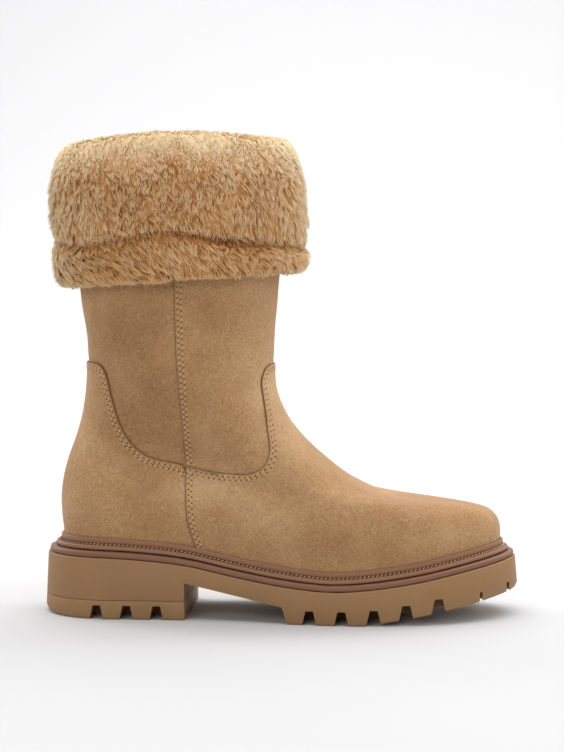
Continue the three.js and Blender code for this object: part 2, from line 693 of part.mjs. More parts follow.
const boot = new THREE.Group();
boot.add(
  meshOf("upper", upper, suede),
  meshOf("vamp", vamp, suede),
  meshOf("counter", counter, suede),
  meshOf("cuff", cuff, fur),
  meshOf("insole", insole, fleece),
  meshOf("welt", welt, brown),
  meshOf("midsole", midsole, brown),
  meshOf("outsole", outsole, rubber),
  meshOf("heel_lift", heelLift, rubber),
);

export default boot;
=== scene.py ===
"""The looks of a right sheepskin ankle boot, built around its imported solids.

Sizes are in millimetres where they are named, and every mesh is made in metres in the frame of the solids.
+X runs from heel to toe, +Y to the inner side of the foot and +Z up.
"""

import logging
import math
from collections.abc import Iterator
from contextlib import contextmanager
from dataclasses import dataclass
from enum import Enum

import bpy
import numpy as np
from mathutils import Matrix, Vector


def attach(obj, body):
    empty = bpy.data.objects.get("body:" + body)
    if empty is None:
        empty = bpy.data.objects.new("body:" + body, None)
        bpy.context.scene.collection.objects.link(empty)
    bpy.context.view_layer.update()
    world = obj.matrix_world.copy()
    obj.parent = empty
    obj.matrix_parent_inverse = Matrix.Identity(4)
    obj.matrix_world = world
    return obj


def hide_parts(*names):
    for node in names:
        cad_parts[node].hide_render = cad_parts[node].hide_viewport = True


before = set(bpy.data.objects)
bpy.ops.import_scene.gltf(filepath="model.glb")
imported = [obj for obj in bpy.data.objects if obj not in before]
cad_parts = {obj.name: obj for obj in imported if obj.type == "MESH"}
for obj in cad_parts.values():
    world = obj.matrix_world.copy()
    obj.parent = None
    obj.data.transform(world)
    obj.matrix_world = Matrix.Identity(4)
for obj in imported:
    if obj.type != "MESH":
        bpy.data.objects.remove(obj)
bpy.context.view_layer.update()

MM = 0.001
SEED = 20
TINY = 1e-9
LOG = logging.getLogger("boot")
Array = np.ndarray
Colour = tuple[int, int, int]
Line = list[tuple[float, float]]


def unit(ways: Array) -> Array:
    """The same directions with a length of one."""
    return ways / (np.linalg.norm(ways, axis=-1, keepdims=True) + TINY)


def run_along(points: Array) -> Array:
    """How far along a line each of its points is."""
    return np.concatenate([[0], np.cumsum(np.linalg.norm(np.diff(points, axis=0), axis=1))])


def frontness(turn: Array) -> Array:
    """0 at the back of the boot and 1 at its front."""
    return (1 - np.cos(turn)) / 2


def whole_round(count: int) -> Array:
    """Even turns all the way round."""
    return np.linspace(0, math.tau, count, endpoint=False)


class Column:
    """A smooth curve through one column of a table, straight beyond both ends."""

    def __init__(self, at: Array, value: Array) -> None:
        """Args:
        at: where the rows stand, rising.
        value: the column's numbers.
        """
        self.at = np.asarray(at, float)
        self.value = np.asarray(value, float)
        low = np.maximum(np.arange(len(self.at)) - 1, 0)
        high = np.minimum(np.arange(len(self.at)) + 1, len(self.at) - 1)
        self.slope = (self.value[high] - self.value[low]) / (self.at[high] - self.at[low])

    def __call__(self, t: Array) -> Array:
        """Args:
            t: places to read the curve at.

        Returns:
            The curve's values there.
        """
        t = np.asarray(t, float)
        i = np.clip(np.searchsorted(self.at, t, side="right") - 1, 0, len(self.at) - 2)
        span = self.at[i + 1] - self.at[i]
        u = np.clip((t - self.at[i]) / span, 0, 1)
        rest = 1 - u
        inside = (
            self.value[i] * (1 + 2 * u) * rest**2
            + self.slope[i] * span * u * rest**2
            + self.value[i + 1] * (3 - 2 * u) * u**2
            - self.slope[i + 1] * span * rest * u**2
        )
        below = np.minimum(t - self.at[0], 0) * self.slope[0]
        above = np.maximum(t - self.at[-1], 0) * self.slope[-1]
        return inside + below + above


def round_end(distance: Array, length: Array, fullness: Array) -> Array:
    """Args:
        distance: how far a point is from the end.
        length: how long the round stretch is.
        fullness: 2 for an ellipse, more for a squarer end.

    Returns:
        0 at the end and 1 where the round stretch is over.
    """
    near = 1 - np.clip(distance / length, 0, 1)
    return np.maximum(1 - near**fullness, 0) ** (1 / fullness)


def smooth(points: Line, steps: int) -> Array:
    """Args:
        points: places that the curve passes.
        steps: how many pieces each stretch is cut in.

    Returns:
        A Catmull-Rom curve through the points.
    """
    p = np.array(points, float)
    p = np.vstack([2 * p[0] - p[1], p, 2 * p[-1] - p[-2]])
    out = []
    for i in range(1, len(p) - 2):
        for t in np.arange(steps) / steps:
            a, b, c, d = p[i - 1], p[i], p[i + 1], p[i + 2]
            out.append(
                0.5 * (2 * b + (c - a) * t + (2 * a - 5 * b + 4 * c - d) * t**2 + (3 * b - a - 3 * c + d) * t**3)
            )
    out.append(p[-2])
    return np.array(out)


@dataclass(frozen=True)
class Sizes:
    """The named sizes that the solids are made from."""

    last_length: float = 258
    ball_width: float = 79
    heel_width: float = 54
    heel_seat: float = 46.5
    ball_seat: float = 29.5
    toe_seat: float = 43.5
    ankle_height: float = 150
    collar_height: float = 268
    shaft_depth: float = 111.4
    shaft_width: float = 98
    shaft_setback: float = 69
    heel_round: float = 30
    swell: float = 0.07
    swell_height: float = 42
    fullness: float = 2.05
    ankle_half: float = 0.93
    swing: float = 79
    wall: float = 2.4
    lap: float = 0.9
    counter_face: float = 1.5
    vamp_face: float = 2.1
    welt_height: float = 7

    @property
    def heel_x(self) -> float:
        """Where the last's heel point is."""
        return -self.last_length / 2

    @property
    def shaft_x(self) -> float:
        """Where the shaft's axis is."""
        return self.heel_x + self.shaft_setback


PLAN = {
    "at": [0, 0.13, 0.29, 0.42, 0.54, 0.645, 0.735, 0.83, 0.91, 1],
    "centre": [0, 0, -0.006, -0.024, -0.028, -0.016, 0.002, 0.022, 0.042, 0.07],
    "heel": [0.98, 1, 1, 0.62, 0.18, 0, 0, 0, 0, 0],
    "ball": [0, 0, 0, 0.33, 0.75, 0.985, 1, 0.93, 0.83, 0.72],
}
SEAT = {
    "at": [0, 0.11, 0.18, 0.29, 0.4, 0.5, 0.62, 0.72, 0.82, 0.91, 1],
    "heel": [1, 0.985, 0.93, 0.76, 0.43, 0.17, 0, 0, 0, 0, 0],
    "toe": [0, 0, 0, 0, 0, 0, 0, 0.12, 0.38, 0.7, 1],
}
FOOT_RINGS = {
    "back": [0, -0.005, -0.0065, -0.001, 0.0095, 0.0225, 0.034, 0.043, 0.049, 0.053, 0.0545, 0.0525],
    "back_up": [0, 0.11, 0.22, 0.33, 0.43, 0.52, 0.605, 0.69, 0.775, 0.865, 0.96, 1.06],
    "front": [1, 1.0008, 0.994, 0.97, 0.908, 0.826, 0.742, 0.663, 0.6, 0.543, 0.505, 0.4806],
    "front_up": [0, 0.06, 0.122, 0.172, 0.208, 0.222, 0.253, 0.338, 0.447, 0.575, 0.705, 0.876],
    "round": [0.178, 0.18, 0.2, 0.245, 0.305, 0.355, 0.39, 0.41, 0.43, 0.45, 0.47, 0.5],
    "seat": [1, 0.88, 0.72, 0.54, 0.36, 0.2, 0.08, 0.02, 0, 0, 0, 0],
    "shaft": [0, 0, 0, 0, 0, 0.02, 0.09, 0.22, 0.4, 0.61, 0.84, 1],
}
SHAFT_RINGS = {
    "up": [0.14, 0.33, 0.6, 1],
    "back": [0.503, 0.535, 0.551, 0.556],
    "front": [0.499, 0.515, 0.534, 0.52],
    "half": [0.94, 0.97, 1, 1],
}


@dataclass(frozen=True)
class Crease:
    """A soft trough or ridge of the suede, drawn in side view."""

    start: tuple[float, float]
    end: tuple[float, float]
    width: float
    height: float
    sides: tuple[int, ...] = (-1, 1)

    def lift(self, x: Array, z: Array, side: Array) -> Array:
        """Args:
            x, z: places in side view.
            side: -1 on the outer side and 1 on the inner.

        Returns:
            How far the suede is lifted there.
        """
        a, b = np.array(self.start), np.array(self.end)
        along = b - a
        length = np.linalg.norm(along)
        t = ((x - a[0]) * along[0] + (z - a[1]) * along[1]) / length**2
        off = ((x - a[0]) * along[1] - (z - a[1]) * along[0]) / length
        bow = 0.12 * length * np.sin(np.pi * np.clip(t, 0, 1))
        beyond = np.maximum(np.abs(t - 0.5) - 0.5, 0) * length
        shape = np.exp(-(((off - bow) / self.width) ** 2)) * np.exp(-((beyond / self.width) ** 2))
        return self.height * shape * np.isin(np.sign(side), self.sides)


CREASES = (
    Crease((-48, 152), (-14, 170), 9, -1.1),
    Crease((-44, 168), (-12, 187), 8, 0.8),
    Crease((-38, 186), (-8, 196), 8, -0.7, (-1,)),
    Crease((-100, 146), (-66, 120), 11, -1.0),
    Crease((-104, 164), (-72, 142), 9, 0.7),
    Crease((-98, 184), (-70, 168), 9, -0.6, (-1,)),
    Crease((-46, 112), (-18, 128), 10, 0.8),
    Crease((-44, 98), (-16, 108), 8, -0.6, (1,)),
    Crease((-8, 104), (16, 78), 9, -0.9),
    Crease((6, 100), (34, 70), 9, 0.6),
    Crease((34, 74), (52, 50), 9, -0.6),
    Crease((58, 64), (70, 46), 8, 0.4, (-1,)),
    Crease((-112, 96), (-86, 84), 9, -0.5),
)


@dataclass(frozen=True)
class PaintedLightPatch:
    """A soft patch of painted light on the suede, or of painted shade where its tone is negative, drawn in side view.
    """

    centre: tuple[float, float]
    reach: tuple[float, float]
    tone: float

    def read(self, x: Array, z: Array) -> Array:
        """The patch's share of painted light at places in side view, negative for painted shade."""
        off_x = (x - self.centre[0]) / self.reach[0]
        off_z = (z - self.centre[1]) / self.reach[1]
        return self.tone * np.exp(-(off_x**2) - off_z**2)


# Patches of painted light on the suede, and of painted shade where the tone is negative.
PAINTED_LIGHT_PATCHES = (
    PaintedLightPatch((-80, 166), (20, 34), -0.09),
    PaintedLightPatch((-84, 120), (18, 20), -0.14),
    PaintedLightPatch((-56, 104), (14, 16), -0.1),
    PaintedLightPatch((-40, 178), (12, 22), -0.06),
    PaintedLightPatch((-30, 160), (26, 16), 0.04),
    PaintedLightPatch((-14, 186), (12, 26), 0.06),
    PaintedLightPatch((-4, 134), (14, 16), 0.16),
    PaintedLightPatch((-22, 132), (16, 20), 0.05),
    PaintedLightPatch((-112, 96), (16, 32), 0.1),
    PaintedLightPatch((-120, 146), (10, 12), 0.1),
    PaintedLightPatch((-98, 60), (26, 16), 0.01),
    PaintedLightPatch((-36, 76), (26, 14), 0.16),
    PaintedLightPatch((0, 66), (26, 16), 0.06),
    PaintedLightPatch((34, 72), (20, 12), 0.05),
    PaintedLightPatch((100, 52), (34, 14), 0.1),
    PaintedLightPatch((52, 44), (28, 10), -0.08),
    PaintedLightPatch((100, 62), (30, 10), -0.1),
    PaintedLightPatch((6, 110), (18, 18), 0.12),
)


class BootForm:
    """The face of the upper, read at v from seat line to collar and at a turn from back, 0, by the outer side."""

    DROP = 100.0
    STEP = 0.004

    def __init__(self, sizes: Sizes) -> None:
        """Args:
        sizes: the boot's named sizes.
        """
        s = self.sizes = sizes
        self.plan = {k: Column(PLAN["at"], PLAN[k]) for k in ("centre", "heel", "ball")}
        self.seat = {k: Column(SEAT["at"], SEAT[k]) for k in ("heel", "toe")}
        foot = {k: np.array(v, float) for k, v in FOOT_RINGS.items()}
        shaft = {k: np.array(v, float) for k, v in SHAFT_RINGS.items()}
        many = len(shaft["up"])
        shaft_z = s.ankle_height + shaft["up"] * (s.collar_height - s.ankle_height)
        rows = {
            "back_x": (s.heel_x + foot["back"] * s.last_length, s.shaft_x - shaft["back"] * s.shaft_depth),
            "back_z": (s.heel_seat + foot["back_up"] * (s.ankle_height - s.heel_seat), shaft_z),
            "front_x": (s.heel_x + foot["front"] * s.last_length, s.shaft_x + shaft["front"] * s.shaft_depth),
            "front_z": (s.toe_seat + foot["front_up"] * (s.ankle_height - s.toe_seat), shaft_z),
            "round": (foot["round"], np.full(many, 0.5)),
            "seat": (foot["seat"], np.zeros(many)),
            "shaft": (foot["shaft"], np.ones(many)),
            "half": (np.full(len(foot["back"]), s.ankle_half), shaft["half"]),
        }
        total = len(foot["back"]) + many
        self.v_rows = np.arange(total) / (total - 1)
        self.ring = {k: Column(self.v_rows, np.concatenate(pair)) for k, pair in rows.items()}
        self.v_at_height = Column(shaft_z, self.v_rows[-many:])

    def along(self, x: Array) -> Array:
        """The share of the last's length at x."""
        return (x - self.sizes.heel_x) / self.sizes.last_length

    def centre_line(self, x: Array) -> Array:
        """The sideways place of the outline's middle at x."""
        return self.plan["centre"](self.along(x)) * self.sizes.swing

    def half_width(self, x: Array) -> Array:
        """Half the last's width at x."""
        s, t = self.sizes, self.along(x)
        return (self.plan["heel"](t) * s.heel_width + self.plan["ball"](t) * s.ball_width) / 2

    def seat_line(self, x: Array) -> Array:
        """The height of the line where upper and welt meet, at x."""
        s, t = self.sizes, self.along(x)
        return (
            s.ball_seat
            + self.seat["heel"](t) * (s.heel_seat - s.ball_seat)
            + self.seat["toe"](t) * (s.toe_seat - s.ball_seat)
        )

    def base(self, v: Array, turn: Array) -> Array:
        """Args:
            v: 0 at the seat line, 1 at the collar and negative below the seat line.
            turn: 0 at the back, pi at the front, and less than pi on the outer side.

        Returns:
            Points of the face, in millimetres.
        """
        s = self.sizes
        v, turn = np.broadcast_arrays(np.asarray(v, float), np.asarray(turn, float))
        up = np.clip(v, 0, 1.05)
        c = frontness(turn)
        ring = {k: f(up) for k, f in self.ring.items()}
        shaft = np.clip(ring["shaft"], 0, 1)
        chord = np.hypot(ring["front_x"] - ring["back_x"], ring["front_z"] - ring["back_z"])
        x = ring["back_x"] + (ring["front_x"] - ring["back_x"]) * c
        straight = s.heel_seat + (s.toe_seat - s.heel_seat) * self.along(x)
        z = ring["back_z"] + (ring["front_z"] - ring["back_z"]) * c
        z = z + np.clip(ring["seat"], 0, 1) * (self.seat_line(x) - straight)
        fullness = s.fullness + (2 - s.fullness) * shaft
        toe = round_end(chord * (1 - c), chord * ring["round"], fullness)
        heel = round_end(chord * c, s.heel_round + (chord / 2 - s.heel_round) * shaft, fullness)
        swell = 1 + s.swell * np.sin(np.pi * np.clip((z - self.seat_line(x)) / s.swell_height, 0, 1))
        shaft_half = ring["half"] * s.shaft_width / 2
        half = self.half_width(x) * swell
        half = half + (shaft_half - half) * shaft
        y = self.centre_line(x) * (1 - shaft) - np.sign(np.sin(turn)) * half * heel * toe
        z = z + np.minimum(v, 0) * self.DROP
        return np.stack([x, y, z], axis=-1)

    def frame_at(self, v: Array, turn: Array) -> tuple[Array, Array, Array, Array]:
        """Args:
            v, turn: places on the face.

        Returns:
            The points, the slopes along v and turn, and the way out.
        """
        step = self.STEP
        side = np.where(np.sin(turn) < 0, -1, 1)
        turn = np.where(np.abs(np.sin(turn)) < 1e-6, turn + 1e-5 * side, turn)
        point = self.base(v, turn)
        by_v = (self.base(v + step, turn) - self.base(v - step, turn)) / (2 * step)
        by_turn = (self.base(v, turn + 2 * step) - self.base(v, turn - 2 * step)) / (4 * step)
        return point, by_v, by_turn, unit(np.cross(by_turn, by_v))

    def creased(self, v: Array, turn: Array, distance: Array) -> Array:
        """Args:
            v, turn: places on the face.
            distance: how far out from it, in millimetres.

        Returns:
            Points that far out, with the suede's creases, in millimetres.
        """
        point, _, _, out = self.frame_at(v, turn)
        side = -np.sin(turn)
        lift = sum(c.lift(point[..., 0], point[..., 2], side) for c in CREASES)
        fade = np.clip(np.abs(np.sin(turn)) / 0.25, 0, 1)
        return point + out * (np.asarray(distance) + lift * fade)[..., None]

    def locate(self, line: Array) -> Array:
        """Args:
            line: places in side view, inside the outline.

        Returns:
            Rows of (v, turn) on the outer side.
        """
        vs, turns = np.meshgrid(np.linspace(-0.1, 1.04, 420), np.linspace(0.002, math.pi - 0.002, 360), indexing="ij")
        grid = self.base(vs, turns)
        flat = grid[..., [0, 2]].reshape(-1, 2)
        found = []
        for px, pz in line:
            k = int(np.argmin((flat[:, 0] - px) ** 2 + (flat[:, 1] - pz) ** 2))
            v, turn = vs.flat[k], turns.flat[k]
            for _ in range(4):
                point, by_v, by_turn, _ = self.frame_at(np.array([v]), np.array([turn]))
                jac = np.array([[by_v[0, 0], by_turn[0, 0]], [by_v[0, 2], by_turn[0, 2]]])
                if abs(np.linalg.det(jac)) < 5:
                    break
                dv, dt = np.linalg.solve(jac, [px - point[0, 0], pz - point[0, 2]])
                v, turn = v + np.clip(dv, -0.02, 0.02), turn + np.clip(dt, -0.05, 0.05)
            found.append((v, float(np.clip(turn, 0.0005, math.pi - 0.0005))))
        return np.array(found)

    def moved_level(self, v: Array, turn: Array, out: Array) -> Array:
        """Points of the face, each moved level by its distance out."""
        point, _, by_turn, _ = self.frame_at(v, turn)
        way = unit(np.stack([by_turn[..., 1], -by_turn[..., 0], np.zeros_like(v)], axis=-1))
        return point + way * np.asarray(out)[..., None]

    def shaft_point(self, turn: Array, z: Array, out: Array) -> Array:
        """Args:
            turn: place round the shaft.
            z: height.
            out: distance from the shaft's face.

        Returns:
            Points moved level from the shaft's face, in millimetres.
        """
        moved = self.moved_level(np.clip(self.v_at_height(z), 0, 1), turn, out)
        moved[..., 2] = z
        return moved

    def plan_ring(self, turn: Array, out: Array, up: Array) -> Array:
        """Args:
            turn: places round the last's plan.
            out: distance out from the plan.
            up: height over the seat line.

        Returns:
            Points of that ring, in millimetres.
        """
        moved = self.moved_level(np.zeros_like(turn), turn, out)
        moved[..., 2] = self.seat_line(moved[..., 0]) + up
        return moved


# ---- Blender helpers


def clear_selection() -> None:
    """Leaves nothing selected."""
    for one in bpy.context.selected_objects:
        one.select_set(False)


def add_object(name: str, data: bpy.types.ID) -> bpy.types.Object:
    """A new object in the scene."""
    piece = bpy.data.objects.new(name, data)
    bpy.context.scene.collection.objects.link(piece)
    return piece


def make_mesh(name: str, points: Array, faces: list[tuple[int, ...]] | Array) -> bpy.types.Object:
    """Args:
        name: the piece's name.
        points: corners in millimetres.
        faces: rows of corner numbers.

    Returns:
        A new object at the origin.
    """
    mesh = bpy.data.meshes.new(name)
    rows = faces.tolist() if isinstance(faces, np.ndarray) else faces
    mesh.from_pydata((np.asarray(points).reshape(-1, 3) * MM).tolist(), [], rows)
    mesh.update()
    return add_object(name, mesh)


def grid_faces(rows: int, columns: int, closed: bool = False, ring: bool = False) -> Array:
    """Args:
        rows, columns: size of the grid of points.
        closed: whether the last column meets the first.
        ring: whether the last row meets the first.

    Returns:
        Four-sided faces.
    """
    r = np.arange(rows if ring else rows - 1)[:, None]
    c = np.arange(columns if closed else columns - 1)[None, :]
    r2, c2 = (r + 1) % rows, (c + 1) % columns
    return np.stack([r * columns + c, r * columns + c2, r2 * columns + c2, r2 * columns + c], axis=-1).reshape(-1, 4)


def write_number(piece: bpy.types.Object, name: str, values: Array) -> None:
    """Keeps one number for each vertex of a piece, for its material to read.

    Args:
        piece: the object.
        name: the attribute's name.
        values: a number for each vertex.
    """
    layer = piece.data.attributes.new(name, "FLOAT", "POINT")
    layer.data.foreach_set("value", np.asarray(values, np.float32))


def select_only(piece: bpy.types.Object) -> None:
    """Selects one object and makes it active."""
    clear_selection()
    piece.select_set(True)
    bpy.context.view_layer.objects.active = piece


@contextmanager
def editing() -> Iterator[None]:
    """Edit mode on the active object, with all of it selected at first."""
    bpy.ops.object.mode_set(mode="EDIT")
    bpy.ops.mesh.select_all(action="SELECT")
    yield
    bpy.ops.object.mode_set(mode="OBJECT")


def finish_modifier(piece: bpy.types.Object, kind: str, **settings: object) -> None:
    """Adds a modifier with its settings and applies it.

    Args:
        piece: the object.
        kind: the modifier's type.
        settings: its settings.
    """
    select_only(piece)
    modifier = piece.modifiers.new(kind.lower(), kind)
    for key, value in settings.items():
        setattr(modifier, key, value)
    bpy.ops.object.modifier_apply(modifier=modifier.name)


def shade(piece: bpy.types.Object, degrees: float = 180) -> None:
    """Shades a piece smooth wherever its faces meet at less than an angle."""
    select_only(piece)
    if degrees >= 180:
        bpy.ops.object.shade_smooth()
    else:
        bpy.ops.object.shade_smooth_by_angle(angle=math.radians(degrees))


def face_outward(piece: bpy.types.Object, degrees: float = 180) -> None:
    """Turns every face of a closed piece outward and shades it smooth."""
    select_only(piece)
    with editing():
        bpy.ops.mesh.normals_make_consistent(inside=False)
    shade(piece, degrees)


def dress(piece: bpy.types.Object, material: bpy.types.Material, slot: str, *nodes: str) -> bpy.types.Object:
    """Args:
        piece: the object.
        material: its finish.
        slot: not used.
        nodes: solids that it stands for.

    Returns:
        The same object, riding on the boot.
    """
    piece.data.materials.clear()
    piece.data.materials.append(material)
    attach(piece, "root")
    if nodes:
        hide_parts(*nodes)
    LOG.info("%s: %d faces", piece.name, len(piece.data.polygons))
    return piece


# ---- Finishes


class Value:
    """A shader socket that does sums."""

    def __init__(self, tree: bpy.types.NodeTree, socket: bpy.types.NodeSocket) -> None:
        """Wraps one output socket of a tree."""
        self.tree = tree
        self.socket = socket

    def _sum(self, operation: str, first: object, second: object) -> "Value":
        """Adds a Math node for two values."""
        node = self.tree.nodes.new("ShaderNodeMath")
        node.operation = operation
        for slot, item in zip(node.inputs, (first, second)):
            if isinstance(item, Value):
                self.tree.links.new(item.socket, slot)
            else:
                slot.default_value = item
        return Value(self.tree, node.outputs[0])

    def __add__(self, other: object) -> "Value":
        """Sum."""
        return self._sum("ADD", self, other)

    __radd__ = __add__

    def __mul__(self, other: object) -> "Value":
        """Product."""
        return self._sum("MULTIPLY", self, other)

    __rmul__ = __mul__

    def __sub__(self, other: object) -> "Value":
        """Difference."""
        return self._sum("SUBTRACT", self, other)

    def __rsub__(self, other: object) -> "Value":
        """Reflected difference."""
        return self._sum("SUBTRACT", other, self)


class Finish:
    """A material under construction."""

    def __init__(self, name: str, roughness: float, **shader: float) -> None:
        """Args:
        name: the material's name.
        roughness: its even roughness.
        shader: other sockets of the shader, with _ for a space.
        """
        self.material = bpy.data.materials.new(name)
        self.material.use_nodes = True
        self.tree = self.material.node_tree
        self.shader = self.tree.nodes["Principled BSDF"]
        self.shader.inputs["Roughness"].default_value = roughness
        for key, value in shader.items():
            self.shader.inputs[key.replace("_", " ")].default_value = value

    def node(self, kind: str, settings: dict[str, object] | None = None, **sockets: object) -> bpy.types.Node:
        """Args:
            kind: the node's type, without its prefix.
            settings: properties set first.
            sockets: values or links of its inputs, with _ for a space.

        Returns:
            The new node.
        """
        node = self.tree.nodes.new("ShaderNode" + kind)
        for key, value in (settings or {}).items():
            setattr(node, key, value)
        for key, value in sockets.items():
            slot = node.inputs[key.replace("_", " ")]
            if isinstance(value, Value):
                self.tree.links.new(value.socket, slot)
            else:
                slot.default_value = value
        return node

    def out(self, node: bpy.types.Node, name: str | int = 0) -> Value:
        """One output of a node."""
        return Value(self.tree, node.outputs[name])

    def attribute(self, name: str) -> Value:
        """One number that the mesh keeps for each vertex."""
        return self.out(self.node("Attribute", {"attribute_name": name}), "Fac")

    def noise(self, scale: float, detail: float = 3) -> Value:
        """Noise of a scale, in waves a metre."""
        where = self.out(self.node("TexCoord"), "Object")
        return self.out(self.node("TexNoise", Vector=where, Scale=scale, Detail=detail), "Fac")

    def ramp(self, value: Value, stops: list[tuple[float, tuple[float, float, float]]]) -> Value:
        """Args:
            value: what the ramp reads.
            stops: places and colours.

        Returns:
            The ramp's colour.
        """
        node = self.node("ValToRGB", Fac=value)
        band = node.color_ramp
        while len(band.elements) < len(stops):
            band.elements.new(0.5)
        for element, (place, colour) in zip(band.elements, stops):
            element.position = place
            element.color = (*colour, 1)
        return self.out(node, "Color")

    def mix(self, factor: Value, first: object, second: object) -> Value:
        """Args:
            factor: share of the second colour.
            first, second: colours or links.

        Returns:
            The mixed colour.
        """
        node = self.node("Mix", {"data_type": "RGBA"})
        for index, item in ((0, factor), (6, first), (7, second)):
            if isinstance(item, Value):
                self.tree.links.new(item.socket, node.inputs[index])
            else:
                node.inputs[index].default_value = (*item, 1)
        return Value(self.tree, node.outputs[2])

    def finish(
        self,
        colour: Value | tuple[float, float, float],
        height: Value | None = None,
        depth: float = 0.0003,
        strength: float = 0.5,
        roughness: Value | None = None,
    ) -> bpy.types.Material:
        """Args:
            colour: base colour.
            height: relief that a bump reads.
            depth: the bump's distance in metres.
            strength: the bump's strength.
            roughness: roughness that varies.

        Returns:
            The finished material.
        """
        if isinstance(colour, Value):
            self.tree.links.new(colour.socket, self.shader.inputs["Base Color"])
        else:
            self.shader.inputs["Base Color"].default_value = (*colour, 1)
        if height is not None:
            bump = self.node("Bump", Height=height, Distance=depth, Strength=strength)
            self.tree.links.new(bump.outputs[0], self.shader.inputs["Normal"])
        if roughness is not None:
            self.tree.links.new(roughness.socket, self.shader.inputs["Roughness"])
        return self.material


def tint(red: int, green: int, blue: int) -> tuple[float, float, float]:
    """A colour of 0 to 255 as the linear numbers that shaders take."""
    shares = (red / 255, green / 255, blue / 255)
    return tuple(c / 12.92 if c <= 0.04045 else ((c + 0.055) / 1.055) ** 2.4 for c in shares)


@dataclass(frozen=True)
class Suede:
    """Brushed suede with a soft nap, with painted light and painted shade from the tone that the panels keep."""

    dark: Colour = (116, 82, 52)
    middle: Colour = (168, 129, 89)
    light: Colour = (208, 177, 135)

    def make(self) -> bpy.types.Material:
        """The material."""
        f = Finish("suede", 0.95, Sheen_Weight=0.12, Sheen_Roughness=0.5, Specular_IOR_Level=0.12)
        # tone: the painted light and painted shade of the patches, less the painted shade at the panels' rounded
        # lips.
        tone = f.attribute("tone")
        clouds = f.noise(34, 4)
        mottle = f.noise(190, 3)
        nap = f.noise(700, 3)
        fibre = f.noise(2100, 2)
        mask = tone + (clouds - 0.5) * 0.36 + (mottle - 0.5) * 0.12 + (nap - 0.5) * 0.42 + (fibre - 0.5) * 0.75
        stops = [(0.12, tint(*self.dark)), (0.5, tint(*self.middle)), (0.9, tint(*self.light))]
        relief = nap * 0.45 + fibre * 0.4 + mottle * 0.25
        return f.finish(f.ramp(mask, stops), relief, 0.0005, 0.5, roughness=0.9 + nap * 0.1)


@dataclass(frozen=True)
class Thread:
    """Waxed sewing thread."""

    colour: Colour = (214, 177, 132)
    name: str = "thread"
    ply: Colour = (196, 156, 110)

    def make(self) -> bpy.types.Material:
        """The material."""
        f = Finish(self.name, 0.7, Specular_IOR_Level=0.3)
        twist = f.noise(3500, 2)
        colour = f.mix(twist, tint(*self.colour), tint(*self.ply))
        return f.finish(colour, twist, 0.0001, 0.4)


@dataclass(frozen=True)
class NeedleHole:
    """The shadow in a needle hole."""

    colour: Colour = (70, 42, 22)
    deep: Colour = (50, 28, 14)

    def make(self) -> bpy.types.Material:
        """The material."""
        f = Finish("needle_hole", 1.0, Specular_IOR_Level=0.0)
        return f.finish(f.mix(f.noise(900, 2), tint(*self.colour), tint(*self.deep)))


@dataclass(frozen=True)
class Rubber:
    """Moulded rubber with a fine matte skin."""

    name: str
    colour: Colour
    shade: Colour
    roughness: float = 0.62

    def make(self) -> bpy.types.Material:
        """The material."""
        f = Finish(self.name, self.roughness, Specular_IOR_Level=0.32)
        cloud = f.noise(35, 3)
        grain = f.noise(1500, 3)
        colour = f.mix(cloud * 0.7 + grain * 0.3, tint(*self.shade), tint(*self.colour))
        return f.finish(colour, grain, 0.00012, 0.3, roughness=self.roughness - 0.08 + grain * 0.16)


@dataclass(frozen=True)
class WeltStrip:
    """The welt's moulded strip, with painted shade down in its stitched groove, and darker along its lowest edge."""

    colour: Colour = (150, 106, 76)
    worn: Colour = (128, 88, 62)
    # The groove colour is painted shade down in the stitched groove.
    groove: Colour = (84, 50, 30)

    def make(self) -> bpy.types.Material:
        """The material."""
        f = Finish("brown_welt", 0.5, Specular_IOR_Level=0.35)
        # groove: painted shade in the stitched groove, and darker along the strip's lowest edge.
        depth = f.attribute("groove")
        grain = f.noise(1300, 3)
        strip = f.mix(grain, tint(*self.worn), tint(*self.colour))
        colour = f.mix(depth, strip, tint(*self.groove))
        return f.finish(colour, grain, 0.00012, 0.35, roughness=0.42 + grain * 0.16)


@dataclass(frozen=True)
class Pile:
    """Fur whose colour runs from root to tip, read from the strands' own map."""

    name: str
    root: Colour
    middle: Colour
    tip: Colour

    def make(self) -> bpy.types.Material:
        """The material."""
        f = Finish(self.name, 0.85, Sheen_Weight=0.08, Sheen_Roughness=0.5, Specular_IOR_Level=0.08)
        split = f.node("SeparateXYZ", Vector=f.out(f.node("UVMap", {"uv_map": "strand"})))
        strand, run = f.out(split, "X"), f.out(split, "Y")
        clouds = f.noise(45, 3)
        # strand carries the cuff's painted light and shade along with each strand's own tone.
        value = run * 0.78 + (strand - 0.5) * 0.26 + (clouds - 0.5) * 0.38 + 0.06
        stops = [(0.02, tint(*self.root)), (0.45, tint(*self.middle)), (0.92, tint(*self.tip))]
        return f.finish(f.ramp(value, stops))


@dataclass(frozen=True)
class Fleece:
    """Short clipped pile."""

    root: Colour = (172, 124, 76)
    middle: Colour = (214, 168, 112)
    tip: Colour = (240, 206, 154)

    def make(self) -> bpy.types.Material:
        """The material."""
        f = Finish("fleece", 1.0, Sheen_Weight=0.3, Specular_IOR_Level=0.1)
        curl = f.noise(420, 4)
        tone = f.noise(60, 3)
        stops = [(0.3, tint(*self.root)), (0.5, tint(*self.middle)), (0.7, tint(*self.tip))]
        return f.finish(f.ramp(curl * 0.6 + tone * 0.4, stops), curl, 0.0012, 0.7)


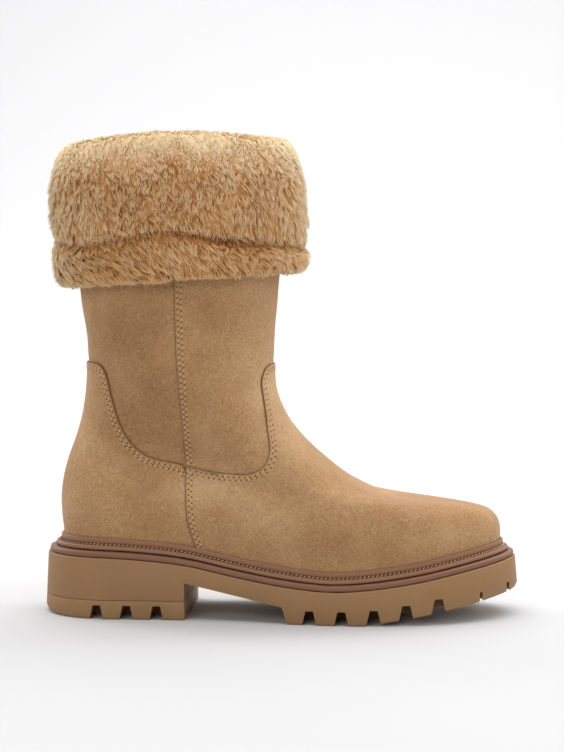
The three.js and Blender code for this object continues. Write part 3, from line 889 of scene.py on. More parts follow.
class Finishes:
    """Every material of the boot."""

    def __init__(self) -> None:
        """Makes them all."""
        self.suede = Suede().make()
        self.thread = Thread().make()
        self.welt_thread = Thread((236, 204, 160), "welt_thread").make()
        self.hole = NeedleHole().make()
        self.rubber = Rubber("tan_rubber", (156, 119, 80), (138, 104, 70)).make()
        self.midsole = Rubber("brown_midsole", (136, 96, 72), (114, 78, 58), 0.5).make()
        self.welt = WeltStrip().make()
        # The cut edge colour is partly the raw edge's own and partly painted shade under the panels' rims.
        self.cut_edge_and_painted_shade = Rubber("cut_edge_and_painted_shade", (132, 95, 63), (108, 74, 47), 0.9).make()
        self.fur = Pile("fur", (158, 100, 54), (226, 170, 109), (255, 234, 194)).make()
        self.fleece = Fleece().make()


# ---- Suede panels


class Side(Enum):
    """Which middle line a panel wraps round."""

    BACK = 0.0
    FRONT = math.pi


def side_view(rows: Line, sizes: Sizes) -> Array:
    """Args:
        rows: shares of the last's length and of the ankle's height.
        sizes: the boot's sizes.

    Returns:
        The smooth edge in side view, in millimetres.
    """
    return smooth([(sizes.heel_x + a * sizes.last_length, u * sizes.ankle_height) for a, u in rows], 10)


CROSSING = (0.2907, 0.601)
SIDE_SEAM = [
    (0.272, 1.9), (0.276, 1.15), (0.281, 0.94), (0.287, 0.74), CROSSING, (0.294, 0.41), (0.313, 0.285), (0.345, 0.15),
]
COUNTER_EDGE = [
    (0.0575, 0.9975), (0.07, 0.998), (0.094, 0.992), (0.109, 0.955), (0.12, 0.88), (0.139, 0.774), (0.165, 0.692),
    (0.208, 0.632), CROSSING,
]
VAMP_EDGE = [
    CROSSING, (0.35, 0.579), (0.42, 0.571), (0.455, 0.583), (0.477, 0.615), (0.483, 0.667), (0.476, 0.74),
    (0.4605, 0.871), (0.457, 0.925), (0.464, 0.973), (0.474, 0.991),
]


def resample(path: Array, form: BootForm, at: Array) -> Array:
    """Args:
        path: rows of (v, turn).
        form: the face that they lie on.
        at: shares of its length.

    Returns:
        The path at those shares.
    """
    run = run_along(form.base(path[:, 0], path[:, 1]))
    return np.stack([np.interp(at * run[-1], run, path[:, k]) for k in (0, 1)], axis=-1)


def spread(path: Array, form: BootForm, step: float) -> Array:
    """The path with even spacing, close to a step in millimetres."""
    length = run_along(form.base(path[:, 0], path[:, 1]))[-1]
    return resample(path, form, np.linspace(0, 1, max(2, int(round(length / step)) + 1)))


def mirrored(path: Array) -> Array:
    """The same path on the other side of the boot."""
    return path * [1, -1] + [0, math.tau]


@dataclass
class Panel:
    """A suede panel that wraps round one middle line and ends at an edge on each side."""

    name: str
    form: BootForm
    middle: Side
    edge: Array
    spine: tuple[float, float]
    face: float
    thickness: float = 1.15
    rows: int = 80
    columns: int = 82
    top_lip: bool = True
    lips: tuple[float, ...] = (0, 0.22, 0.55, 1.1)
    drops: tuple[float, ...] = (0.42, 0.14, 0.03, 0)
    girth: float = 60
    bend: float = 1.6

    def shares(self, length: float, count: int, both: bool) -> tuple[Array, Array]:
        """Args:
            length: how long the row is.
            count: how many points it gets.
            both: whether the lip is at both ends.

        Returns:
            Shares along the row, and how far each point sinks for the rounded lip.
        """
        lip = np.array(self.lips) / length
        inner = np.linspace(lip[-1] if both else 0, 1 - lip[-1], count)[1 if both else 0 : -1]
        at = np.concatenate([lip if both else [], inner, 1 - lip[::-1]])
        sink = np.interp(np.minimum(at, 1 - at) if both else 1 - at, lip, self.drops)
        return at, sink

    def build(self, material: bpy.types.Material, *nodes: str) -> bpy.types.Object:
        """Args:
            material: the suede.
            nodes: solids that the panel stands for.

        Returns:
            The panel, with real thickness and rounded lips.
        """
        length = run_along(self.form.base(self.edge[:, 0], self.edge[:, 1]))[-1]
        if self.top_lip:
            up, up_sink = self.shares(length, self.rows, False)
        else:
            up, up_sink = np.linspace(0, 1, self.rows), np.zeros(self.rows)
        edge = resample(self.edge, self.form, up)
        spine_path = np.stack([np.linspace(*self.spine, 300), np.full(300, self.middle.value)], axis=-1)
        spine = resample(spine_path, self.form, up)
        v, turn, sink = [], [], []
        for k in range(len(up)):
            reach = edge[k, 1] - self.middle.value
            across, side_sink = self.shares(2 * abs(reach) * self.girth + 4, self.columns, True)
            swing = 2 * across - 1
            turn.append(self.middle.value + abs(reach) * swing)
            v.append(spine[k, 0] + (edge[k, 0] - spine[k, 0]) * np.abs(swing) ** self.bend)
            sink.append(np.maximum(side_sink, up_sink[k]))
        v, turn, sink = np.array(v), np.array(turn), np.array(sink)
        points = self.form.creased(v, turn, self.face - sink)
        piece = make_mesh(self.name, points, grid_faces(*v.shape))
        # The tone paints light and shade: the patches, less painted shade where the lips round down.
        tone = 0.5 + sum(patch.read(points[..., 0], points[..., 2]) for patch in PAINTED_LIGHT_PATCHES)
        edge_shade = np.interp(sink, [0, 0.1, self.drops[0]], [0, 0.05, 0.3])
        write_number(piece, "tone", (tone - edge_shade).ravel())
        finish_modifier(piece, "SOLIDIFY", thickness=self.thickness * MM, offset=-1)
        face_outward(piece)
        return dress(piece, material, "suede", *nodes)


class Template:
    """A small piece that is modelled once and copied many times into one mesh."""

    def __init__(self, piece: bpy.types.Object) -> None:
        """Takes the shape of an object, in millimetres, and deletes the object."""
        self.points = np.array([v.co[:] for v in piece.data.vertices])
        self.faces = [tuple(p.vertices) for p in piece.data.polygons]
        bpy.data.objects.remove(piece, do_unlink=True)

    def copies(self, name: str, places: Array, axes: Array) -> bpy.types.Object:
        """Args:
            name: the new piece's name.
            places: where each copy goes, in millimetres.
            axes: its three axes, as rows.

        Returns:
            One object with all the copies.
        """
        points = places[:, None, :] + np.einsum("pk,nkj->npj", self.points, axes)
        faces = [
            tuple(index + copy * len(self.points) for index in face)
            for copy in range(len(places))
            for face in self.faces
        ]
        piece = make_mesh(name, points, faces)
        shade(piece)
        return piece


def capsule(length: float, width: float, height: float, segments: int = 8) -> Template:
    """Args:
        length, width, height: whole sizes in millimetres.
        segments: fineness.

    Returns:
        A rounded stitch along its first axis.
    """
    clear_selection()
    bpy.ops.mesh.primitive_uv_sphere_add(segments=segments, ring_count=5, radius=0.5)
    with editing():
        bpy.ops.transform.rotate(value=math.pi / 2, orient_axis="Y", center_override=(0, 0, 0))
        bpy.ops.transform.resize(value=(length, width, height), center_override=(0, 0, 0))
    return Template(bpy.context.active_object)


@dataclass
class Seam:
    """Double rows of stitches beside a panel's edge."""

    form: BootForm
    face: float
    pitch: float = 3.3
    rows: tuple[float, ...] = (1.7, 3.7)

    def place(self, edge: Array, inward: float) -> tuple[list[Array], list[Array], list[Array], list[Array]]:
        """Args:
            edge: the panel's edge as rows of (v, turn).
            inward: 1 or -1, the side of the edge that the stitches are on.

        Returns:
            Places and axes of the stitches, and of the needle holes.
        """
        threads, thread_axes, holes, hole_axes = [], [], [], []
        for number, distance in enumerate(self.rows):
            path = spread(edge, self.form, self.pitch / 8)
            point, by_v, by_turn, out = self.form.frame_at(path[:, 0], path[:, 1])
            aside = np.cross(out, unit(np.gradient(point, axis=0))) * inward * distance
            moved = path.copy()
            for k in range(len(path)):
                jac = np.stack([by_v[k], by_turn[k]], axis=1)
                moved[k] += np.linalg.lstsq(jac, aside[k], rcond=None)[0]
            moved = spread(moved, self.form, self.pitch / 2)
            at = self.form.creased(moved[:, 0], moved[:, 1], self.face)
            out = self.form.frame_at(moved[:, 0], moved[:, 1])[3]
            way = unit(np.gradient(at, axis=0))
            axes = np.stack([way, np.cross(out, way), out], axis=1)
            first = 1 + number % 2
            threads.append(at[first:-1:2])
            thread_axes.append(axes[first:-1:2])
            holes.append(at[3 - first : -1 : 2])
            hole_axes.append(axes[3 - first : -1 : 2])
        return threads, thread_axes, holes, hole_axes


@dataclass
class Upper:
    """Shaft, vamp, counter, their seams and the lining."""

    form: BootForm
    looks: Finishes
    tab_front: float = 0.99
    tab_back: float = 0.997
    shaft_top: float = 0.985

    def edges(self) -> dict[str, Array]:
        """The panels' edges as rows of (v, turn), each from its lower end up."""
        s = self.form.sizes
        seam = side_view(SIDE_SEAM, s)[::-1]
        crossing = s.ankle_height * CROSSING[1]
        seat = self.form.seat_line(seam[:, 0])
        lower = seam[(seam[:, 1] < crossing) & (seam[:, 1] > seat - 5)]
        upper = seam[(seam[:, 1] > crossing - 22) & (seam[:, 1] < s.collar_height - 1)]
        counter = side_view(COUNTER_EDGE, s)[::-1]
        vamp = side_view(VAMP_EDGE, s)
        place = self.form.locate
        low = place(lower)
        return {
            "lower": low,
            "upper": place(upper),
            "counter": np.vstack([low, place(counter[1:])]),
            "vamp": np.vstack([low, place(vamp[1:])]),
        }

    def tab_top(self, middle: Side) -> float:
        """The v at which a tab ends on its middle line."""
        share = self.tab_front if middle is Side.FRONT else self.tab_back
        vs = np.linspace(-0.08, 1.02, 1200)
        heights = self.form.base(vs, np.full_like(vs, middle.value + 1e-4))[:, 2]
        return float(np.interp(self.form.sizes.ankle_height * share, heights, vs))

    def build(self) -> None:
        """Makes and dresses all pieces of the upper."""
        s = self.form.sizes
        edges = self.edges()
        tuck = -(s.welt_height - 1) / BootForm.DROP
        for node, middle, face, rows, columns in (
            ("vamp", Side.FRONT, s.vamp_face, 92, 150),
            ("counter", Side.BACK, s.counter_face, 82, 96),
        ):
            spine = (tuck, self.tab_top(middle))
            panel = Panel(f"{node}_panel", self.form, middle, edges[node], spine, face, rows=rows, columns=columns)
            panel.build(self.looks.suede, node)
        self.shaft(edges["upper"])
        self.sew(edges, s)
        self.lining()

    def shaft(self, seam: Array) -> None:
        """Makes the front and back panels of the shaft.

        Args:
            seam: the side seam as rows of (v, turn).
        """
        spine = (float(seam[0, 0]), self.shaft_top)
        vs = np.linspace(*spine, 200)
        turns = np.interp(vs, seam[:, 0], seam[:, 1])
        for name, middle, under, face, thickness, nodes in (
            ("shaft_front", Side.FRONT, 0, self.form.sizes.lap, 0.85, ["upper"]),
            ("shaft_rear", Side.BACK, 0.09, 0.02, 1.6, []),
        ):
            edge = np.stack([vs, turns + under], axis=-1)
            panel = Panel(name, self.form, middle, edge, spine, face, thickness, top_lip=False)
            panel.build(self.looks.suede, *nodes)

    def sew(self, edges: dict[str, Array], s: Sizes) -> None:
        """Lays the stitch rows along each panel's edge.

        Args:
            edges: the panels' edges.
            s: the boot's sizes.
        """
        vamp, counter, side = edges["vamp"], edges["counter"], edges["upper"]
        start = len(edges["lower"])
        whole_vamp = np.vstack([vamp, [[self.tab_top(Side.FRONT), math.pi]], mirrored(vamp)[::-1]])
        above = counter[start - 1 :]
        above = np.vstack([above[0] + (above[0] - above[1]), above])
        whole_counter = np.vstack([above, [[self.tab_top(Side.BACK), 0.0]], (above * [1, -1])[::-1]])
        side = side[side[:, 0] > vamp[start, 0]]
        plan = [
            (whole_vamp, s.vamp_face, -1),
            (whole_counter, s.counter_face, 1),
            (side, s.lap, -1),
            (mirrored(side), s.lap, 1),
        ]
        parts = [[], [], [], []]
        for path, face, inward in plan:
            for store, found in zip(parts, Seam(self.form, face).place(path, inward)):
                store.extend(found)
        self.cut_edges_and_painted_shade([(path, face) for path, face, _ in plan])
        threads, thread_axes, holes, hole_axes = (np.concatenate(part) for part in parts)
        threads = capsule(2.3, 0.64, 0.54).copies("stitches", threads, thread_axes)
        dress(threads, self.looks.thread, "suede")
        holes = capsule(0.95, 0.8, 0.32, 6).copies("needle_holes", holes, hole_axes)
        dress(holes, self.looks.hole, "suede")

    def cut_edges_and_painted_shade(self, lines: list[tuple[Array, float]]) -> None:
        """Makes the dark cut edge that shows under the rim of each panel: partly the edge's own colour, partly
        painted shade under the rim.

        Args:
            lines: the panels' edges with the height of their faces.
        """
        points, faces, start, sides = [], [], 0, 6
        ring = whole_round(sides)[None, :, None]
        for path, face in lines:
            path = spread(path, self.form, 0.9)
            out = self.form.frame_at(path[:, 0], path[:, 1])[3]
            middle = self.form.creased(path[:, 0], path[:, 1], np.full(len(path), face - 0.75))
            aside = np.cross(out, unit(np.gradient(middle, axis=0)))
            tube = middle[:, None] + aside[:, None] * 0.24 * np.cos(ring) + out[:, None] * 0.36 * np.sin(ring)
            points.append(tube.reshape(-1, 3))
            last = start + (len(path) - 1) * sides
            faces += (grid_faces(len(path), sides, closed=True) + start).tolist()
            faces += [list(range(start + sides - 1, start - 1, -1)), list(range(last, last + sides))]
            start = last + sides
        piece = make_mesh("cut_edges_and_painted_shade", np.concatenate(points), faces)
        face_outward(piece)
        dress(piece, self.looks.cut_edge_and_painted_shade, "suede")

    def lining(self) -> None:
        """Makes the fleece that covers the inside from the insole to below the cuff's mouth."""
        wall = self.form.sizes.wall
        rng = np.random.default_rng(SEED)
        rows, columns = 72, 120
        vs, turns = np.meshgrid(np.linspace(0.0, 0.93, rows), whole_round(columns), indexing="ij")
        outer = self.form.creased(vs, turns, np.full_like(vs, 0.35 - wall))
        inner = self.form.creased(vs, turns, -wall - 2.2 - 0.9 * rng.random(vs.shape))
        points = np.concatenate([outer, inner[::-1]])
        piece = make_mesh("lining", points, grid_faces(2 * rows, columns, closed=True, ring=True))
        face_outward(piece)
        dress(piece, self.looks.fleece, "fleece")


# ---- Fur cuff

CUFF_OUT = [0.35, 0.68, 0.93, 1, 0.96, 0.82, 0.98, 1.06, 1.08, 0.97, 0.7, 0.3]
CUFF_UP = [0.015, 0, 0.05, 0.15, 0.25, 0.305, 0.36, 0.5, 0.68, 0.81, 0.935, 1]
MOUTH_OUT = [-0.3, -0.8, -1, -0.95]
MOUTH_UP = [0.985, 0.91, 0.76, 0.5]
CREASE_WAVE = Column([0, 0.06, 0.15, 0.44, 0.56, 0.7, 0.85, 1], [3, -1, -3, 2, 1.5, -2.7, -5.5, -9.5])


@dataclass
class Cuff:
    """The turned-down fur cuff."""

    form: BootForm
    looks: Finishes
    back: float = 195
    front: float = 203.5
    height: float = 82.6
    crown: float = 4.6
    swell: float = 0.26
    taper: float = 0.07
    crease_up: float = 0.305
    fur_out: float = 13.4
    fur_in: float = 9
    strands: int = 64000
    clumps: int = 7000
    girth: float = 62.0
    run: float = 165.0
    crease: float = 0.215
    extent: tuple[float, float] = (math.tau, 0.985)
    length: tuple[float, float] = (4.4, 7.0)
    radius: tuple[float, float] = (0.19, 0.31)
    gather: tuple[float, float] = (0.2, 0.6)
    lifts: tuple[tuple[float, float], ...] = ((0, -3.6), (0.5, -0.3), (1, 1.5))

    def profile(self, at: Array) -> tuple[Array, Array]:
        """Args:
            at: 0 at the hem's inner edge, 1 down in the mouth.

        Returns:
            Distance from the shaft's face and share of the height.
        """
        s = self.form.sizes
        outs = np.array([o * self.fur_out + s.lap for o in CUFF_OUT] + [o * self.fur_in - s.wall for o in MOUTH_OUT])
        ups = np.array(CUFF_UP + MOUTH_UP)
        rise = ups * self.height
        run = run_along(np.stack([outs, rise], axis=-1))
        where = np.clip(at, 0, 1) * run[-1]
        return Column(run, outs)(where), Column(run, ups)(where)

    def hem(self, turn: Array) -> Array:
        """The height of the cuff's lower edge."""
        return self.back + (self.front - self.back) * frontness(turn)

    def surface(self, turn: Array, at: Array, extra: Array) -> Array:
        """Args:
            turn: place round the shaft.
            at: place along the profile.
            extra: distance beyond the base form.

        Returns:
            Points in millimetres.
        """
        c = frontness(turn)
        out, up = self.profile(at)
        front = 1 + c * c * (self.swell * (1 - up) ** 2 - self.taper * up)
        out = np.where(out > 0, out * front, out)
        step = BootForm.STEP
        out2, up2 = self.profile(np.minimum(at + step, 1))
        out1, up1 = self.profile(np.maximum(at - step, 0))
        d_out, d_up = out2 - out1, (up2 - up1) * self.height
        size = np.hypot(d_out, d_up) + TINY
        tall = self.height - (self.front - self.back) * c * 0.6 + self.crown * np.sin(np.pi * c)
        dip = CREASE_WAVE(c) * np.exp(-(((up - self.crease_up) / 0.14) ** 2))
        z = self.hem(turn) + up * tall + dip - d_out / size * extra
        return self.form.shaft_point(turn, z, out + d_up / size * extra)

    @staticmethod
    def wobble(turn: Array, at: Array, seed: int, waves: int = 26) -> Array:
        """Args:
            turn, at: places on the cuff.
            seed: which pattern.
            waves: how many waves are added.

        Returns:
            A smooth uneven height from about -1 to 1 that meets itself round the cuff.
        """
        rng = np.random.default_rng(seed)
        total = np.zeros(np.broadcast(turn, at).shape)
        for _ in range(waves):
            round_count = rng.integers(3, 34)
            tall_count = rng.uniform(-30, 30)
            phase = rng.uniform(0, math.tau)
            total = total + np.sin(round_count * turn + tall_count * at * math.tau / 3 + phase)
        return total / math.sqrt(waves / 2) / 1.6

    def build(self) -> None:
        """Makes the cuff's body and its pile."""
        self.body()
        self.pile()

    def body(self) -> None:
        """Makes the dense base of the fur."""
        rows, columns = 72, 210
        at, turn = np.meshgrid(np.linspace(0, 1, rows), whole_round(columns), indexing="ij")
        bumps = self.wobble(turn, at, SEED) * 0.7
        crown = self.crown_share(at)
        face = self.surface(turn, at, bumps * (1 - 0.5 * crown) - 2.3 + 0.9 * crown)
        s, line = self.form.sizes, turn[0]
        hem, top = self.hem(line), np.full(columns, s.collar_height + 1)
        inside, outside = np.full(columns, -s.wall), np.full(columns, s.lap + 0.2)
        corners = ((hem + 0.48 * self.height, inside), (top, inside), (top, outside), (hem + 3, outside))
        wall = [self.form.shaft_point(line, z, out) for z, out in corners]
        points = np.concatenate([face, np.array(wall)])
        piece = make_mesh("cuff_base", points, grid_faces(rows + 4, columns, closed=True, ring=True))
        face_outward(piece)
        # pale paints light on the crown and rims and shade in the crease and under the hem; the run rising on the
        # crown is painted light too.
        tones = np.concatenate([self.pale(turn, at), np.full((4, columns), 0.3)]).ravel()
        runs = np.concatenate([0.3 + 0.35 * crown, np.full((4, columns), 0.3)]).ravel()
        self.map_strands(piece, tones + 0.5, runs)
        dress(piece, self.looks.fur, "fur", "cuff")

    @staticmethod
    def map_strands(piece: bpy.types.Object, strand: Array, run: Array) -> None:
        """Writes each corner's strand and its run from root to tip into the piece's map.

        Args:
            piece: the object.
            strand: a number from 0 to 1 for each vertex's strand.
            run: 0 at a root and 1 at a tip.
        """
        layer = piece.data.uv_layers.new(name="strand")
        corners = np.empty(len(piece.data.loops), dtype=np.int32)
        piece.data.loops.foreach_get("vertex_index", corners)
        layer.data.foreach_set("uv", np.stack([strand[corners], run[corners]], axis=-1).ravel().astype(np.float32))

    @staticmethod
    def crown_share(at: Array) -> Array:
        """0 on the cuff's sides, 1 on its crown and less again down in the mouth."""
        return np.clip((at - 0.43) / 0.18, 0, 1) * (1 - 0.75 * np.clip((at - 0.7) / 0.14, 0, 1))

    def pale(self, turn: Array, at: Array) -> Array:
        """Args:
            turn, at: places on the cuff.

        Returns:
            How much paler the fur is painted there: painted light on the crown and at the back and front rims,
                painted shade down in the crease, below it and under the hem.
        """
        c = frontness(turn)
        # crown and rim are painted light; crease, low and hem are painted shade.
        crown = self.crown_share(at) ** 1.3
        crease = np.exp(-(((at - self.crease) / 0.016) ** 2)) * (0.35 + 0.65 * np.clip((c - 0.45) / 0.2, 0, 1))
        low = np.clip((self.crease - at) / 0.03, 0, 1)
        hem = np.clip((0.05 - at) / 0.05, 0, 1)
        rim = np.abs(np.cos(turn)) ** 6
        return 1.6 * crown + 0.5 * rim - 1.3 * crease - 0.3 * low - 0.7 * hem

    def comb(self, turn: Array, at: Array) -> Array:
        """Args:
            turn, at: places on the cuff.

        Returns:
            How far round each strand leans for each unit that it runs down.
        """
        swept = 0.42 * np.cos(turn) + 0.2
        lean = swept + 0.17 * self.wobble(turn, at, SEED + 5, 14)
        roll = np.clip((self.crease - at) / 0.05, 0, 1)
        return lean + roll * (0.35 + 0.9 * np.clip(np.cos(turn), 0, 1))

    def unrolled(self, places: Array) -> Array:
        """Places on the cuff as points whose distances are close to those over its face, in millimetres."""
        turn, at = places[:, 0], places[:, 1]
        return np.stack([np.cos(turn) * self.girth, np.sin(turn) * self.girth, at * self.run], axis=-1)

    def nearest(self, place: Array, heart: Array) -> Array:
        """The number of the tuft that each strand is closest to."""
        parts, hearts = np.array_split(self.unrolled(place), 160), self.unrolled(heart)
        return np.concatenate([
            np.argmin(((part[:, None, :] - hearts[None]) ** 2).sum(-1), axis=1) for part in parts
        ])

    def spines(
        self, rng: np.random.Generator, place: Array, heart: Array, tuft: Array, crown: Array
    ) -> tuple[Array, Array]:
        """Args:
            rng: where the draws come from.
            place: each strand's root, as (turn, at).
            heart: each tuft's middle, as (turn, at).
            tuft: the number of each strand's tuft.
            crown: how far up on the crown each strand is.

        Returns:
            Root, middle and tip of the strands, and their radius.
        """
        count = len(place)
        gather = rng.uniform(*self.gather, count)
        length = rng.uniform(*self.length, self.clumps)[tuft] * rng.uniform(0.8, 1.15, count)
        comb = self.comb(heart[:, 0], heart[:, 1]) + rng.normal(0, 0.26, self.clumps)
        comb = comb[tuft] + rng.normal(0, 0.16, count)
        radius = rng.uniform(*self.radius, count)
        rise = 0.5 * rng.normal(0, 1, count) + 0.5 * rng.normal(0, 1, self.clumps)[tuft]
        length, rise = length * (1 - 0.35 * crown), rise * (1 - 0.55 * crown)
        near = np.abs(heart[tuft, :1] - place[:, :1]) < 1
        tip = place + gather[:, None] * (heart[tuft] - place) * near
        spine = []
        for share, lift in self.lifts:
            mid = place + (tip - place) * share**1.2
            down = length * share**1.25
            turn = mid[:, 0] + comb * down / self.girth
            at = mid[:, 1] - down / self.run
            below = np.maximum(-at, 0) * self.run
            point = self.surface(turn, np.maximum(at, 0.0), lift * (1 - 0.4 * crown) + rise * share)
            point[:, 2] -= np.minimum(below * 0.4, 1.6)
            spine.append(point)
        return np.array(spine), radius

    @staticmethod
    def corners(rng: np.random.Generator, spine: Array, radius: Array) -> Array:
        """Args:
            rng: where the draws come from.
            spine: root, middle and tip of the strands.
            radius: their radius.

        Returns:
            Seven corners for each strand: two rings of three, and its tip.
        """
        way = unit(np.gradient(spine, axis=0))
        aside = unit(np.cross(way, rng.normal(size=(len(radius), 3))))
        across = np.cross(way, aside)
        rings = []
        for k, width in enumerate((1.0, 0.85)):
            for angle in whole_round(3):
                offset = aside[k] * math.cos(angle) + across[k] * math.sin(angle)
                rings.append(spine[k] + offset * (radius * width)[:, None])
        return np.stack([*rings, spine[2]], axis=1)

    def soft_normals(self, place: Array, points: Array, spine: Array, crown: Array) -> Array:
        """Args:
            place: each strand's root, as (turn, at).
            points: the strands' corners.
            spine: root, middle and tip of the strands.
            crown: how far up on the crown each strand is.

        Returns:
            Normals that lean towards the fur's face.
        """
        low, high = (self.surface(place[:, 0], place[:, 1], np.full(len(place), out)) for out in (0.0, 1.0))
        normals = unit(points - np.repeat(spine, [3, 3, 1], axis=0).transpose(1, 0, 2))
        blend = crown[:, None, None]
        return normals * (0.55 + 0.35 * blend) + (high - low)[:, None] * (0.85 - 0.5 * blend)

    def pile(self) -> None:
        """Makes the strands, gathered in small tufts and combed down."""
        rng = np.random.default_rng(SEED + 1)
        place = rng.random((self.strands, 2)) * self.extent
        heart = rng.random((self.clumps, 2)) * self.extent
        tuft = self.nearest(place, heart)
        crown = self.crown_share(place[:, 1])
        spine, radius = self.spines(rng, place, heart, tuft, crown)
        points = self.corners(rng, spine, radius)
        normals = self.soft_normals(place, points, spine, crown)
        shape = [(0, 2, 1)]
        for i in range(3):
            j = (i + 1) % 3
            shape += [(i, j, 3 + j), (i, 3 + j, 3 + i), (3 + i, 3 + j, 6)]
        run = np.array([0.0] * 3 + [0.5] * 3 + [1.0])
        tone = rng.random(self.strands) * 0.5 + 0.5 * rng.random(self.clumps)[tuft] - 0.5
        # pale adds painted light on the crown and rims and painted shade in the crease and under the hem.
        tone = tone * (1 + 0.4 * crown) + 0.5 + self.pale(place[:, 0], place[:, 1])
        for number, chosen in enumerate(np.array_split(np.argsort(place[:, 0]), 4)):
            starts = np.arange(len(chosen))[:, None, None] * len(run)
            faces = (np.array(shape)[None] + starts).reshape(-1, 3)
            piece = make_mesh(f"fur_pile_{number + 1}", points[chosen], faces)
            shade(piece)
            piece.data.normals_split_custom_set_from_vertices(normals[chosen].reshape(-1, 3).tolist())
            self.map_strands(piece, np.repeat(tone[chosen], len(run)), np.tile(run, len(chosen)))
            dress(piece, self.looks.fur, "fur")


# ---- Welt, midsole and sole

WELT_OUT = [0, 4.3, 4.6, 4.2, 3.2, 1.9, 1.2, 1.6, 1.5, 0.9, 0]
WELT_UP = [-6.7, -6.7, -5.5, -4.3, -3.8, -4, -3.2, -2.3, -0.3, 0.3, 0.3]


@dataclass
class Bottom:
    """Welt, midsole, outsole, heel lift and insole."""

    form: BootForm
    looks: Finishes
    welt_columns: int = 300
    stitch_pitch: float = 2.5

    def build(self) -> None:
        """Makes and dresses all pieces under the upper."""
        self.welt()
        self.welt_stitches()
        self.carry_over("midsole", self.looks.midsole, "brown", 0.45)
        self.carry_over("outsole", self.looks.rubber, "rubber", 0.7)
        self.carry_over("heel_lift", self.looks.rubber, "rubber", 0.5)
        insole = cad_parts["insole"]
        insole.data.materials.clear()
        insole.data.materials.append(self.looks.fleece)

    def hug(self, turn: Array) -> Array:
        """The distance from the last to the upper's outer face, at each turn round the welt."""
        s = self.form.sizes
        x = self.form.base(np.zeros_like(turn), turn)[:, 0]
        foot = s.heel_x + 0.28 * s.last_length
        t = np.clip((x - foot + 12) / 12, 0, 1)
        return s.counter_face + (s.vamp_face - s.counter_face) * t * t * (3 - 2 * t)

    def welt(self) -> None:
        """Makes the welt's rib, groove and bead."""
        turn = whole_round(self.welt_columns)
        hug = self.hug(turn)
        fine_out = smooth(list(zip(WELT_OUT, WELT_UP)), 3)
        rings = [self.form.plan_ring(turn, hug + 0.25 + out, np.full_like(turn, up)) for out, up in fine_out]
        rows = len(rings)
        piece = make_mesh("welt_band", np.array(rings), grid_faces(rows, self.welt_columns, closed=True, ring=True))
        # The groove mask paints shade down in the groove and darkens the strip's lowest edge.
        groove = np.interp(np.hypot(fine_out[:, 0] - 1.75, (fine_out[:, 1] + 3.75) * 0.9), [0.75, 1.25], [1, 0])
        groove = np.maximum(groove, np.interp(fine_out[:, 1], [-6.3, -5.5], [1.2, 0]))
        write_number(piece, "groove", np.repeat(groove, self.welt_columns))
        face_outward(piece, 60)
        dress(piece, self.looks.welt, "brown", "welt")

    def welt_stitches(self) -> None:
        """Lays the stitches in the welt's groove."""
        turn = whole_round(4000)
        line = self.form.plan_ring(turn, self.hug(turn) + 2.35, np.full_like(turn, -3.3))
        run = run_along(line)
        count = int(run[-1] / self.stitch_pitch)
        at = (np.arange(count) + 0.5) * run[-1] / count
        places = np.stack([np.interp(at, run, line[:, k]) for k in range(3)], axis=-1)
        way = unit(np.roll(places, -1, axis=0) - np.roll(places, 1, axis=0))
        out = unit(np.cross(way, [0, 0, 1.0]))
        up = np.cross(way, out)
        slant = math.radians(30)
        turned = way * math.cos(slant) + up * math.sin(slant) * np.sign(up[:, 2:])
        axes = np.stack([turned, out, np.cross(turned, out)], axis=1)
        piece = capsule(2.0, 0.55, 0.5).copies("welt_stitches", places, axes)
        dress(piece, self.looks.welt_thread, "brown")

    def carry_over(self, node: str, material: bpy.types.Material, slot: str, width: float) -> None:
        """Copies a solid, breaks its edges and dresses it.

        Args:
            node: the solid's name.
            material: its finish.
            slot: passed on to dress.
            width: how wide its broken edges are, in millimetres.
        """
        piece = add_object(node + "_moulded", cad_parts[node].data.copy())
        select_only(piece)
        with editing():
            bpy.ops.mesh.remove_doubles(threshold=0.02 * MM)
            bpy.ops.mesh.dissolve_limited(angle_limit=math.radians(0.6))
        finish_modifier(
            piece, "BEVEL", width=width * MM, segments=2, limit_method="ANGLE", angle_limit=math.radians(32),
            harden_normals=False, use_clamp_overlap=True,
        )
        shade(piece, 35)
        dress(piece, material, slot, node)


# ---- Studio


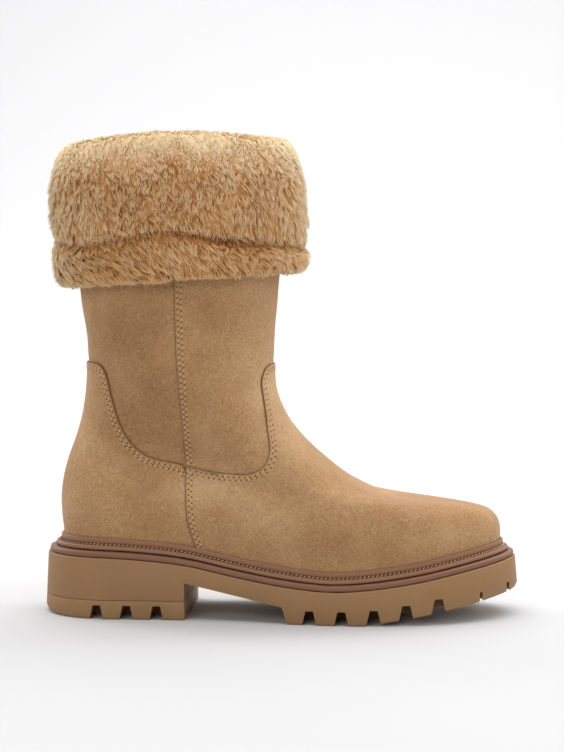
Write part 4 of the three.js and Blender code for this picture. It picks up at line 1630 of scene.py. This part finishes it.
@dataclass
class Studio:
    """Floor, backdrop, lights and camera."""

    turned: float = 4.0
    distance: float = 1300
    camera_height: float = 229
    aim_height: float = 141
    aim_x: float = 0.8
    lens: float = 104.4
    room: float = 0.33
    floor_front: float = 4000
    floor_half: float = 5000
    rise_radius: float = 900
    wall_height: float = 4200
    boxes: tuple[tuple, ...] = (
        ("box_top", (0, 0.25, 2.3), (0, 0.15, 0), (3.2, 2.8), 67),
        ("box_front", (-0.7, -2.4, 1.1), (0, 0, 0.15), (1.6, 1.2), 17.5),
        ("box_right", (1.9, -0.9, 0.8), (0, 0, 0.12), (1.0, 1.2), 8),
        ("box_back", (0.1, 1.3, 1.6), (0, 0, 0.24), (2.2, 0.8), 10),
        ("rim_left", (-1.1, 0.6, 0.7), (0, 0, 0.25), (0.5, 0.9), 6),
        ("rim_right", (1.1, 0.6, 0.7), (0, 0, 0.25), (0.5, 0.9), 6),
        ("box_wall", (0, 0.95, 1.9), (0, 1.85, 0.85), (3.2, 0.5), 8),
    )

    def build(self) -> None:
        """Makes them all."""
        bpy.context.scene.view_settings.view_transform = "Standard"
        self.sweep()
        self.lights()
        self.camera()

    def sweep(self) -> None:
        """Makes the pale floor that rises behind into a backdrop."""
        r, wide = self.rise_radius, self.floor_half
        line = [(-self.floor_front, 0.0), (r, 0.0)]
        line += [(r + r * math.sin(a), r - r * math.cos(a)) for a in np.linspace(0.1, math.pi / 2, 14)]
        line += [(2 * r, self.wall_height)]
        points = np.array([[(x, y, z) for x in (-wide, wide)] for y, z in line], float)
        points[..., 2] -= 0.15
        piece = make_mesh("studio_floor", points, grid_faces(len(line), 2))
        shade(piece)
        f = Finish("paper", 0.9, Specular_IOR_Level=0.1)
        f.finish(tint(200, 200, 201))
        piece.data.materials.append(f.material)

    @staticmethod
    def hold(name: str, data: bpy.types.ID, place: Vector, aim: Vector) -> bpy.types.Object:
        """A light or camera at a place, looking at an aim."""
        held = add_object(name, data)
        held.location = place
        held.rotation_euler = (aim - place).to_track_quat("-Z", "Y").to_euler()
        return held

    def lights(self) -> None:
        """Makes the soft boxes and the even light of the room."""
        world = bpy.data.worlds.new("room")
        bpy.context.scene.world = world
        world.use_nodes = True
        sky = world.node_tree.nodes["Background"].inputs
        sky["Color"].default_value = (1, 1, 1, 1)
        sky["Strength"].default_value = self.room
        for name, place, aim, size, power in self.boxes:
            lamp = bpy.data.lights.new(name, "AREA")
            lamp.shape = "RECTANGLE"
            lamp.size, lamp.size_y = size
            lamp.energy = power
            self.hold(name, lamp, Vector(place), Vector(aim))

    def camera(self) -> None:
        """Makes the camera at the photograph's angle."""
        angle = math.radians(self.turned)
        x, y = self.aim_x + self.distance * math.sin(angle), -self.distance * math.cos(angle)
        data = bpy.data.cameras.new("camera")
        data.lens = self.lens
        data.clip_end = 20
        place, aim = Vector((x, y, self.camera_height)) * MM, Vector((self.aim_x, 0, self.aim_height)) * MM
        bpy.context.scene.camera = self.hold("camera", data, place, aim)


def main() -> None:
    """Builds the boot and its studio."""
    logging.basicConfig(level=logging.INFO, format="%(name)s %(message)s")
    clear_selection()
    form = BootForm(Sizes())
    looks = Finishes()
    Studio().build()
    Upper(form, looks).build()
    Cuff(form, looks).build()
    Bottom(form, looks).build()


if __name__ == "__main__":
    main()
